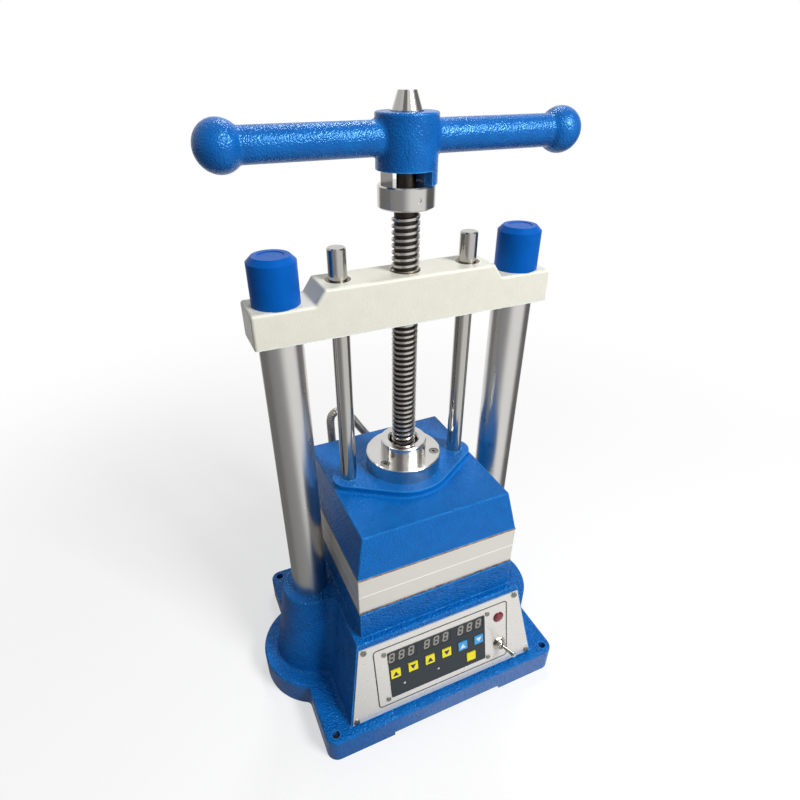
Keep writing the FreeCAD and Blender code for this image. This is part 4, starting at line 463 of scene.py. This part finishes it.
cap_plastic = moulded("cap_plastic", (0.001, 0.100, 0.45), 0.42, 900.0, 0.00008, Specular_IOR_Level=0.2,
                      Specular_Tint=BLUE_SHEEN)
film = moulded("slate_film", (0.030, 0.039, 0.046), 0.34, 2500.0, 0.000003, Specular_IOR_Level=0.2)
window_plastic = moulded("display_window", (0.040, 0.042, 0.043), 0.24, 1500.0, 0.000003,
                         Specular_IOR_Level=0.2)
segment_plastic = moulded("display_segment", (0.30, 0.29, 0.27), 0.40, 2500.0, 0.000005)
yellow_plastic = moulded("yellow_key_plastic", (0.90, 0.78, 0.005), 0.35, 2500.0, 0.00001)
sky_plastic = moulded("blue_key_plastic", (0.045, 0.35, 0.75), 0.35, 2500.0, 0.00001)
navy_ink = moulded("navy_ink", (0.010, 0.010, 0.075), 0.45, 2500.0, 0.00001)
white_ink = moulded("white_ink", (0.80, 0.82, 0.82), 0.45, 2500.0, 0.00001)
black_ink = moulded("black_ink", (0.012, 0.011, 0.011), 0.50, 2500.0, 0.00001)
black_plastic = moulded("black_plastic", (0.018, 0.018, 0.020), 0.40, 1500.0, 0.00004)
ivory_plastic = moulded("ivory_plastic", (0.68, 0.66, 0.58), 0.42, 1500.0, 0.00003)
board_laminate = moulded("board_laminate", (0.010, 0.075, 0.022), 0.30, 2000.0, 0.00002)
lamp_red = moulded("lamp_red", (0.19, 0.003, 0.012), 0.16, 900.0, 0.00001, Coat_Weight=0.8)
led_resin = moulded("led_resin", (0.62, 0.62, 0.58), 0.18, 2500.0, 0.00001, Coat_Weight=0.6)
panel_steel = lined_metal("panel_steel", (0.70, 0.685, 0.65), 0.26, 0.30, (20.0, 1500.0, 1500.0),
                          0.0000006, 0.4)
core_iron = lined_metal("core_iron", (0.10, 0.10, 0.105), 0.45, 0.6, (2000.0, 20.0, 20.0), 0.0001)

insulation, tree, shader = new_finish("pressed_board", (0.33, 0.155, 0.065), 0.75)
fibre = noise(tree, object_place(tree), 90.0, 5.0, 0.75)
vary_colour(tree, shader, fibre, (0.13, 0.055, 0.025), (0.50, 0.33, 0.20), 0.38, 0.62)
add_bump(tree, shader, fibre, 0.0002)

conduit_metal, tree, shader = new_finish("conduit_metal", (0.44, 0.41, 0.36), 0.34, 0.95)
dust = noise(tree, object_place(tree), 220.0, 4.0, 0.6)
vary_colour(tree, shader, dust, (0.30, 0.27, 0.23), (0.54, 0.50, 0.45), 0.3, 0.7)
vary_roughness(tree, shader, dust, 0.32, 0.44)
add_bump(tree, shader, dust, 0.00005)
print("materials:", len(bpy.data.materials))

# %% [markdown]
# A part whose modelled shape is already right only needs its finish. The list says which
# finish each measured part wears. Assigning it to the part's own material slots changes
# nothing about the part's shape or place.

# %% Dress the measured parts
WEARS = {
    base_enamel: ["base_casting"],
    head_enamel: ["head_casting"],
    handle_enamel: ["handle_casting"],
    beam_enamel: ["cross_beam"],
    column_steel: ["left_column", "right_column"],
    rod_steel: ["left_guide_rod", "right_guide_rod"],
    plate_metal: ["lower_platen", "upper_platen"],
    cap_steel: ["thrust_cap", "thrust_bearing", "drive_collar", "collar_pins"],
    dark_steel: ["thrust_cap_screws"],
    thread_steel: ["lead_screw"],
    chrome: ["tip_nut", "toggle_lever"],
    nickel: ["toggle_body", "toggle_nut"],
    bronze: ["screw_nut", "guide_bushes", "hub_bush"],
    zinc_steel: ["bottom_cover", "case_screws", "lower_heaters", "upper_heaters", "lower_sensor",
                 "upper_sensor", "lower_platen_screws", "upper_platen_screws", "column_foot_nuts",
                 "column_top_nuts", "membrane_screws", "board_spacers"],
    insulation: ["lower_insulation", "upper_insulation"],
    cap_plastic: ["column_caps"],
    panel_steel: ["control_panel"],
    film: ["display_membrane"],
    window_plastic: ["number_displays"],
    board_laminate: ["control_board"],
    led_resin: ["indicator_leds"],
    lamp_red: ["lamp_lens"],
    black_plastic: ["lamp_holder", "mains_gland", "fuse_holder"],
    ivory_plastic: ["heater_relays", "terminal_block"],
    core_iron: ["transformer"],
    conduit_metal: ["base_hose_gland", "head_hose_gland", "conduit_hose"],
    yellow_plastic: ["upper_heat_up_key", "upper_heat_down_key", "lower_heat_up_key",
                     "lower_heat_down_key", "start_key"],
    sky_plastic: ["time_up_key", "time_down_key"],
}
for finish, names in WEARS.items():
    for name in names:
        piece = nodes[name]
        piece.data.materials.clear()
        piece.data.materials.append(finish)
bare = sorted(set(nodes) - {name for names in WEARS.values() for name in names})
print("parts without a finish:", bare)

# %% [markdown]
# A seven-segment digit is seven bars with pointed ends. One bar is a thin plate whose corners
# are cut at 45 degrees. Copies of it stand in the places of the figure eight, and the whole
# figure leans a little, which a shear matrix does. The lights are off, so all bars show grey.
# BAR_LAP and BAR_CUT are shares of a bar's width: how much longer the points make it, and how
# much of each corner is cut away.

# %% Digits in the displays
DISPLAY_MIDDLE = -9.5 * MM
DISPLAY_PITCH = 46.5 * MM
DISPLAY_Y = 81.3 * MM
DIGIT_PITCH = 12.7 * MM
DIGIT_SHIFT = -0.6 * MM
DIGIT_HEIGHT = 13.6 * MM
DIGIT_WIDTH = 7.6 * MM
BAR = 2.1 * MM
BAR_GAP = 0.35 * MM
BAR_LAP = 0.7
BAR_CUT = 0.49
SLANT = math.radians(8)
DISPLAY_FACE = 0.5 * MM
INK = 0.12 * MM
QUARTER = Matrix.Rotation(math.radians(90), 4, "Z")

tall = (DIGIT_HEIGHT - BAR) / 2
wide = DIGIT_WIDTH - BAR
level = [(0, k * tall, 0) for k in (-1, 0, 1)]
upright = [(side * wide / 2, half * tall / 2, 0) for side in (-1, 1) for half in (-1, 1)]
eight = bmesh.new()
for place in level:
    bar = flat_plate(wide + BAR_LAP * BAR - 2 * BAR_GAP, BAR, INK, BAR_CUT * BAR, 1)
    add_part(eight, bar, Matrix.Translation(place))
for place in upright:
    bar = flat_plate(tall + BAR_LAP * BAR - 2 * BAR_GAP, BAR, INK, BAR_CUT * BAR, 1)
    add_part(eight, bar, Matrix.Translation(place) @ QUARTER)
lean = Matrix(((1, math.tan(SLANT), 0, 0), (0, 1, 0, 0), (0, 0, 1, 0), (0, 0, 0, 1)))
bmesh.ops.transform(eight, matrix=lean, verts=eight.verts)

digits = bmesh.new()
for unit in (-1, 0, 1):
    for place_in_unit in (-1, 0, 1):
        x = DISPLAY_MIDDLE + unit * DISPLAY_PITCH + place_in_unit * DIGIT_PITCH + DIGIT_SHIFT
        place = Matrix.Translation((x, DISPLAY_Y, DISPLAY_FACE))
        add_part(digits, eight.copy(), PANEL @ place)
eight.free()
finished_piece("display_digits", digits, "base", segment_plastic, 0)

# %% [markdown]
# The keys carry plain arrows: navy on the yellow keys, white on the light blue ones. Each is a
# circle with three sides, centred on its own height and given the thickness of ink. It rides
# with its own key, so that it goes down when the key is pressed.

# %% Arrows on the keys
KEY_TOP = 2.1 * MM
KEY_PITCH = 23 * MM
KEY_MIDDLE = -9 * MM
KEY_Y = 56.8 * MM
ARROW_RADIUS = 4.5 * MM
ARROWS = (
    ("upper_heat_up_key", 0, 1, navy_ink), ("upper_heat_down_key", 1, -1, navy_ink),
    ("lower_heat_up_key", 2, 1, navy_ink), ("lower_heat_down_key", 3, -1, navy_ink),
    ("time_up_key", 4, 1, white_ink), ("time_down_key", 5, -1, white_ink))
for key, place_in_row, way, ink in ARROWS:
    arrow = bmesh.new()
    bmesh.ops.create_circle(arrow, cap_ends=True, radius=ARROW_RADIUS, segments=3)
    low = min(v.co.y for v in arrow.verts)
    high = max(v.co.y for v in arrow.verts)
    bmesh.ops.translate(arrow, vec=(0, -(low + high) / 2, 0), verts=arrow.verts)
    bmesh.ops.rotate(arrow, matrix=Matrix.Rotation(0 if way > 0 else math.pi, 3, "Z"), verts=arrow.verts)
    bmesh.ops.solidify(arrow, geom=arrow.faces[:], thickness=-INK)
    x = KEY_MIDDLE + (place_in_row - 2.5) * KEY_PITCH
    bmesh.ops.transform(arrow, matrix=PANEL @ Matrix.Translation((x, KEY_Y, KEY_TOP)), verts=arrow.verts)
    bmesh.ops.recalc_face_normals(arrow, faces=arrow.faces)
    finished_piece(key + "_arrow", arrow, key + "_cap", ink, 0)

# %% [markdown]
# A thin black line is printed around the controls. It starts as one rectangle with rounded
# corners. Insetting its face leaves a narrow rim, the middle is deleted, and the rim is
# given the thickness of a coat of ink.

# %% Printed line around the controls
LINE_WIDTH = 184 * MM
LINE_HEIGHT = 90.6 * MM
LINE_CORNER = 5 * MM
LINE_MIDDLE = (0, 55.0 * MM, 0)
STROKE = 1.5 * MM
STROKE_THICKNESS = 0.05 * MM
line = flat_plate(LINE_WIDTH, LINE_HEIGHT, 0, LINE_CORNER, 6)
middle = line.faces[:]
bmesh.ops.inset_region(line, faces=middle, thickness=STROKE, use_boundary=True, use_even_offset=True)
bmesh.ops.delete(line, geom=middle, context="FACES")
bmesh.ops.solidify(line, geom=line.faces[:], thickness=-STROKE_THICKNESS)
bmesh.ops.transform(line, matrix=PANEL @ Matrix.Translation(LINE_MIDDLE), verts=line.verts)
bmesh.ops.recalc_face_normals(line, faces=line.faces)
finished_piece("panel_line", line, "base", black_ink, 0)

# %% [markdown]
# The signal lamp has a cut lens, so that it catches light from every side. An icosphere is
# already a set of flat facets. It is pressed flatter, cut in half at its foot and closed
# there. A turned rim holds it, made by spinning a small profile around the lamp's axis.

# %% Signal lamp
LAMP = Vector((79 * MM, 78.5 * MM, 0))
LENS_RADIUS = 6.7 * MM
LENS_FLATNESS = 0.62
LENS_TURN = 0.4
LENS_FOOT = 0.05 * MM
lens = bmesh.new()
bmesh.ops.create_icosphere(lens, subdivisions=2, radius=LENS_RADIUS)
bmesh.ops.rotate(lens, matrix=Matrix.Rotation(LENS_TURN, 3, "Z"), verts=lens.verts)
bmesh.ops.scale(lens, vec=(1, 1, LENS_FLATNESS), verts=lens.verts)
cut = bmesh.ops.bisect_plane(lens, geom=lens.verts[:] + lens.edges[:] + lens.faces[:],
                             plane_co=(0, 0, LENS_FOOT), plane_no=(0, 0, 1), clear_inner=True)
bmesh.ops.holes_fill(lens, edges=[g for g in cut["geom_cut"] if isinstance(g, bmesh.types.BMEdge)])
bmesh.ops.transform(lens, matrix=PANEL @ Matrix.Translation(LAMP), verts=lens.verts)
bmesh.ops.recalc_face_normals(lens, faces=lens.faces)
lamp_lens = finished_piece("lamp_cut_lens", lens, "base", lamp_red, 0)
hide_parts("lamp_lens")


def spun(name, outline, centre, finish):
    """Spins a closed outline of (radius, height) points in mm around a centre on the panel."""
    bm = bmesh.new()
    ring = [bm.verts.new((radius * MM, 0, height * MM)) for radius, height in outline]
    edges = [bm.edges.new((ring[k], ring[(k + 1) % len(ring)])) for k in range(len(ring))]
    bmesh.ops.spin(bm, geom=ring + edges, cent=(0, 0, 0), axis=(0, 0, 1), angle=math.tau, steps=48,
                   use_merge=True)
    bmesh.ops.remove_doubles(bm, verts=bm.verts, dist=1e-7)
    bmesh.ops.recalc_face_normals(bm, faces=bm.faces)
    bmesh.ops.transform(bm, matrix=PANEL @ Matrix.Translation(centre), verts=bm.verts)
    return finished_piece(name, bm, "base", finish, 35)


RIM_OUTLINE = ((6.6, 0), (7.4, 0), (7.4, 0.5), (7.0, 0.95), (6.6, 0.7))
spun("lamp_rim", RIM_OUTLINE, LAMP, lamp_red)

# %% [markdown]
# The switch is clamped by its nut over a plain washer, which is a flat spun ring. A bit of
# thread shows on the bush above the nut, as a stack of thin spun ridges.

# %% Washer and thread of the toggle switch
SWITCH = Vector((79.6 * MM, 35.5 * MM, 0))
WASHER_OUTLINE = ((5.9, 0.02), (9.2, 0.02), (9.2, 0.45), (5.9, 0.45))
RIDGE_OUTLINE = ((5.6, 0), (5.82, 0.1), (6.15, 0.4), (5.82, 0.75), (5.6, 0.85))
FIRST_RIDGE = 2.3
RIDGE_PITCH = 0.9
spun("toggle_washer", WASHER_OUTLINE, SWITCH, nickel)
for ridge in range(5):
    foot = FIRST_RIDGE + ridge * RIDGE_PITCH
    outline = [(radius, foot + height) for radius, height in RIDGE_OUTLINE]
    spun(f"toggle_thread_{ridge}", outline, SWITCH, nickel)

# %% [markdown]
# A metal hose feeds the heater in the head, which moves. It climbs behind the base, turns over
# in an arch and comes down to a gland that leans. These control points follow that route, and
# a smooth NURBS curve runs along them. The hose's length is measured on that curve. CLIMB
# gives shares of the way up, across and back to the start of the arch.

# %% Line of the hose behind the head
HOSE_START = Vector((-57, 131.5, 106)) * MM
ELBOW = Vector((6.8, 117.5, 259)) * MM
SOCKET = 10 * MM
LEAN = math.radians(33.2)
ARCH_RADIUS = 12.3 * MM
LEG_X = -53.3 * MM
LEG_BOW = 1.5 * MM
LEG_HIGH = 0.705
LEG_LOW = 0.35
CLIMB = ((0, 0, 0), (0.208, 0, 0), (0.416, 0.35, 0.2), (0.61, 0.9, 0.65), (0.775, 1.25, 0.95), (0.9, 1.05, 1))
slope = Vector((-math.sin(LEAN), 0, math.cos(LEAN)))
aside = Vector((math.cos(LEAN), 0, math.sin(LEAN)))
hose_end = ELBOW + slope * SOCKET
reach_in = (hose_end.x - LEG_X - ARCH_RADIUS) * math.cos(LEAN)
middle_z = hose_end.z - (ARCH_RADIUS - reach_in) / math.sin(LEAN)
turn = (math.pi - LEAN) / 3
run = 2 * ARCH_RADIUS * math.tan(turn / 2)
arch = [Vector((LEG_X, hose_end.y, middle_z + run / 2))]
for k in (1, 2):
    way = math.pi / 2 - k * turn
    arch.append(arch[-1] + Vector((math.cos(way), 0, math.sin(way))) * run)
rise = arch[0] - HOSE_START
climb = [HOSE_START + Vector((rise.x * across, rise.y * back, rise.z * up)) for up, across, back in CLIMB]
fall = (hose_end - arch[-1]).length
route = [*climb, *arch, hose_end + slope * (LEG_HIGH * fall) + aside * LEG_BOW,
         hose_end + slope * (LEG_LOW * fall), hose_end]


def smooth_line(points, name):
    """Closely spaced points along the NURBS curve that these control points steer."""
    curve = bpy.data.curves.new(name, "CURVE")
    curve.dimensions = "3D"
    curve.resolution_u = 24
    spline = curve.splines.new("NURBS")
    spline.points.add(len(points) - 1)
    for control, point in zip(spline.points, points):
        control.co = (*point, 1)
    spline.order_u = 3
    spline.use_endpoint_u = True
    holder = bpy.data.objects.new(name, curve)
    bpy.context.scene.collection.objects.link(holder)
    flat = bpy.data.meshes.new_from_object(holder)
    line = [v.co.copy() for v in flat.vertices]
    bpy.data.objects.remove(holder)
    bpy.data.meshes.remove(flat)
    return line


hose_line = smooth_line(route, "hose_line")
lengths = [0.0]
for first, second in zip(hose_line, hose_line[1:]):
    lengths.append(lengths[-1] + (second - first).length)
hose_length = lengths[-1]
print("hose length:", round(hose_length, 4))

# %% [markdown]
# The hose is wound from a profiled strip, so its ridges form one long helix. The tube starts
# as a flat grid. Each point's place across the grid becomes a turn around the hose, its place
# along the grid a distance along the line, and a wave of both presses the helix into it.

# %% Roll the tube and lay it along the line
HOSE_RADIUS = 5.4 * MM
HOSE_GROOVE = 0.5 * MM
HOSE_PITCH = 3.0 * MM
PLAIN_END = 8 * MM
RIDGE_SHAPE = 0.6
AROUND = 24
STATIONS_PER_TURN = 7
STATIONS = int(hose_length / HOSE_PITCH * STATIONS_PER_TURN)


def point_on_line(distance):
    """The place and the direction at a distance along the hose."""
    k = 1
    while k < len(lengths) - 1 and lengths[k] < distance:
        k += 1
    span = lengths[k] - lengths[k - 1]
    share = (distance - lengths[k - 1]) / span
    return hose_line[k - 1].lerp(hose_line[k], share), (hose_line[k] - hose_line[k - 1]).normalized()


tube = bmesh.new()
bmesh.ops.create_grid(tube, x_segments=AROUND, y_segments=STATIONS, size=0.5)
for v in tube.verts:
    turn = (v.co.x + 0.5) * math.tau
    distance = (v.co.y + 0.5) * hose_length
    wave = 0.5 - 0.5 * math.cos(math.tau * (distance / HOSE_PITCH) - turn)
    swell = min(1, min(distance, hose_length - distance) / PLAIN_END)
    reach = HOSE_RADIUS - HOSE_GROOVE * (1 - swell * wave ** RIDGE_SHAPE)
    point, direction = point_on_line(distance)
    side_way = Vector((0, 1, 0)).cross(direction).normalized()
    back_way = direction.cross(side_way)
    v.co = point + reach * (math.cos(turn) * side_way + math.sin(turn) * back_way)
bmesh.ops.remove_doubles(tube, verts=tube.verts, dist=1e-6)
bmesh.ops.holes_fill(tube, edges=[e for e in tube.edges if e.is_boundary], sides=AROUND + 1)
bmesh.ops.recalc_face_normals(tube, faces=tube.faces)
hose = finished_piece("ribbed_hose", tube, None, conduit_metal, 60)
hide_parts("conduit_hose")
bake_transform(hose)

# %% [markdown]
# Polished metal has no look of its own, it shows the room. A studio has bright and dark
# parts, and those make the tall bands on a steel column. This group tells how bright the
# floor and the walls are in each compass direction: white behind the machine and on the
# right of the camera, grey on its left, dark beyond the machine's right side. The numbers
# are pairs of a share of the full circle and a brightness, for reflected rays only.

# %% Shader group: the room as metal sees it
room, room_in, room_out = new_group("studio_room", [("Vector", "Vector", None)],
                                    [("Floor", "Float"), ("Walls", "Float")])
compass = room.nodes.new("ShaderNodeTexGradient")
compass.gradient_type = "RADIAL"
room.links.new(room_in.outputs["Vector"], compass.inputs["Vector"])
FLOOR_BANDS = ((0.00, 0.28), (0.15, 0.38), (0.235, 1.0), (0.40, 1.0), (0.425, 0.14), (0.56, 0.16),
               (0.59, 1.0), (0.80, 1.0), (0.84, 0.20))
WALL_BANDS = ((0.00, 0.75), (0.07, 0.80), (0.09, 0.07), (0.17, 0.07), (0.19, 1.0), (0.40, 1.0), (0.43, 0.08),
              (0.56, 0.16), (0.59, 1.0), (0.80, 1.0), (0.84, 0.70))
for label, bands in (("Floor", FLOOR_BANDS), ("Walls", WALL_BANDS)):
    ramp = room.nodes.new("ShaderNodeValToRGB")
    while len(ramp.color_ramp.elements) < len(bands):
        ramp.color_ramp.elements.new(0.5)
    for stop, (position, brightness) in zip(ramp.color_ramp.elements, bands):
        stop.position = position
        stop.color = (brightness, brightness, brightness, 1)
    room.links.new(compass.outputs["Fac"], ramp.inputs[0])
    room.links.new(ramp.outputs[0], room_out.inputs[label])
print("group:", room.name)

# %% [markdown]
# The machine stands on a plain pale floor that fades into a white backdrop. The camera sees
# a mix of pale paint, which keeps a soft shadow round the machine's foot, and white light of
# the floor's own, which grows to full strength between the two distances of GLOW_GROWS.
# Mirrored rays see the bright and dark bands of the room group instead. Light that bounces
# off the floor meets only a darker paint, so it hardly brightens the machine from below.

# %% Floor
FLOOR_HALF = 12
PAINT = 0.4
PAINT_SEEN = 0.55
GLOW_NEAR = 0.6
GLOW_GROWS = (0.35, 1.3)
ground = bmesh.new()
bmesh.ops.create_grid(ground, x_segments=1, y_segments=1, size=FLOOR_HALF)
floor_paint, tree, shader = new_finish("floor_paint", (PAINT, PAINT, PAINT), 0.7, Specular_IOR_Level=0.1)
place = object_place(tree)
seen = tree.nodes.new("ShaderNodeLightPath")
from_camera = seen.outputs["Is Camera Ray"]
grain = noise(tree, place, 300.0, 2.0, 0.5)
add_bump(tree, shader, grain, 0.0001)
paleness = calculation(tree, "ADD", calculation(tree, "MULTIPLY", from_camera, PAINT_SEEN), PAINT)
pale = tree.nodes.new("ShaderNodeCombineColor")
for socket in pale.inputs:
    tree.links.new(paleness, socket)
tree.links.new(pale.outputs[0], shader.inputs["Base Color"])
distance = tree.nodes.new("ShaderNodeVectorMath")
distance.operation = "LENGTH"
tree.links.new(place, distance.inputs[0])
fade = tree.nodes.new("ShaderNodeMapRange")
fade.interpolation_type = "SMOOTHSTEP"
fade.inputs["From Min"].default_value = GLOW_GROWS[0]
fade.inputs["From Max"].default_value = GLOW_GROWS[1]
fade.inputs["To Min"].default_value = GLOW_NEAR
fade.inputs["To Max"].default_value = 1.0
tree.links.new(distance.outputs["Value"], fade.inputs["Value"])
mirrored = calculation(tree, "MAXIMUM", seen.outputs["Is Glossy Ray"], seen.outputs["Is Transmission Ray"])
own_light = calculation(tree, "MAXIMUM", calculation(tree, "MULTIPLY", from_camera, fade.outputs["Result"]),
                        mirrored)
brightness = calculation(tree, "MAXIMUM", from_camera, use_group(tree, room, place)["Floor"])
glow = tree.nodes.new("ShaderNodeEmission")
tree.links.new(brightness, glow.inputs["Strength"])
blend_in = tree.nodes.new("ShaderNodeMixShader")
tree.links.new(own_light, blend_in.inputs[0])
tree.links.new(shader.outputs[0], blend_in.inputs[1])
tree.links.new(glow.outputs[0], blend_in.inputs[2])
tree.links.new(blend_in.outputs[0], tree.nodes["Material Output"].inputs["Surface"])
floor_mesh = bpy.data.meshes.new("floor")
ground.to_mesh(floor_mesh)
ground.free()
floor_mesh.materials.append(floor_paint)
floor = bpy.data.objects.new("floor", floor_mesh)
bpy.context.scene.collection.objects.link(floor)
print("floor:", 2 * FLOOR_HALF, "metres wide")

# %% [markdown]
# The world does three jobs. To the camera it is pure white. To reflected rays it is the room
# of the group above. To the machine's paint it is a weak, even light that fills the shadows.

# %% World
FILL_LIGHT = 0.24
world = bpy.data.worlds.new("studio")
bpy.context.scene.world = world
world.use_nodes = True
tree = world.node_tree
background = tree.nodes["Background"]
background.inputs["Color"].default_value = (1, 1, 1, 1)
paths = tree.nodes.new("ShaderNodeLightPath")
outlook = use_group(tree, room, tree.nodes.new("ShaderNodeTexCoord").outputs["Generated"])
mirrored = calculation(tree, "MAXIMUM", paths.outputs["Is Glossy Ray"], paths.outputs["Is Transmission Ray"])
strength = calculation(tree, "MAXIMUM", calculation(tree, "MULTIPLY", mirrored, outlook["Walls"]),
                       paths.outputs["Is Camera Ray"])
tree.links.new(calculation(tree, "MAXIMUM", strength, FILL_LIGHT), background.inputs["Strength"])
print("world:", world.name, "fill light", FILL_LIGHT)

# %% [markdown]
# Two soft lamps light the machine. The main one stands in front on the right, at two and a
# half times the height of the machine: it lights the front and top faces alike and leaves the
# left side in shade. The other one hangs higher behind the right side and brightens tops.

# %% Lamps
MIDDLE = (0, 0, 0.3)


def area_lamp(name, place_at, size, power):
    """A soft rectangular lamp that looks at the machine's middle."""
    lamp = bpy.data.lights.new(name, "AREA")
    lamp.shape = "RECTANGLE"
    lamp.size, lamp.size_y = size
    lamp.energy = power
    holder = bpy.data.objects.new(name, lamp)
    bpy.context.scene.collection.objects.link(holder)
    holder.location = place_at
    holder.rotation_euler = (Vector(MIDDLE) - Vector(place_at)).to_track_quat("-Z", "Y").to_euler()
    print("lamp:", name, power, "watts")


area_lamp("key_lamp", (0.74, -1.49, 1.74), (0.7, 0.7), 50)
area_lamp("back_lamp", (0.62, 1.05, 2.35), (0.4, 0.4), 11)

# %% [markdown]
# The camera was found by matching points of the model to the photograph, so its place, its
# turn, its focal length and its small shift are numbers that were measured, not chosen.

# %% Camera
FOCAL_PIXELS = 550.44
PICTURE = 800
CENTRE_PIXEL = (391.63, 428.20)
SENSOR = 36
EYE = (-0.22699, -0.47542, 0.70388)
right = Vector((0.91382, -0.40612, -0.00224))
down = Vector((-0.22631, -0.50464, -0.83314))
forward = Vector((0.33722, 0.76185, -0.55305))
camera_data = bpy.data.cameras.new("camera")
camera_data.sensor_width = SENSOR
camera_data.lens = SENSOR * FOCAL_PIXELS / PICTURE
camera_data.shift_x = (PICTURE / 2 - CENTRE_PIXEL[0]) / PICTURE
camera_data.shift_y = (CENTRE_PIXEL[1] - PICTURE / 2) / PICTURE
camera_data.clip_start = 0.01
camera = bpy.data.objects.new("camera", camera_data)
bpy.context.scene.collection.objects.link(camera)
turned = Matrix((right, -down, -forward)).transposed()
camera.matrix_world = Matrix.Translation(EYE) @ turned.to_4x4()
bpy.context.scene.camera = camera
bpy.context.scene.view_settings.view_transform = "Standard"
print("lens:", round(camera_data.lens, 2), "mm")
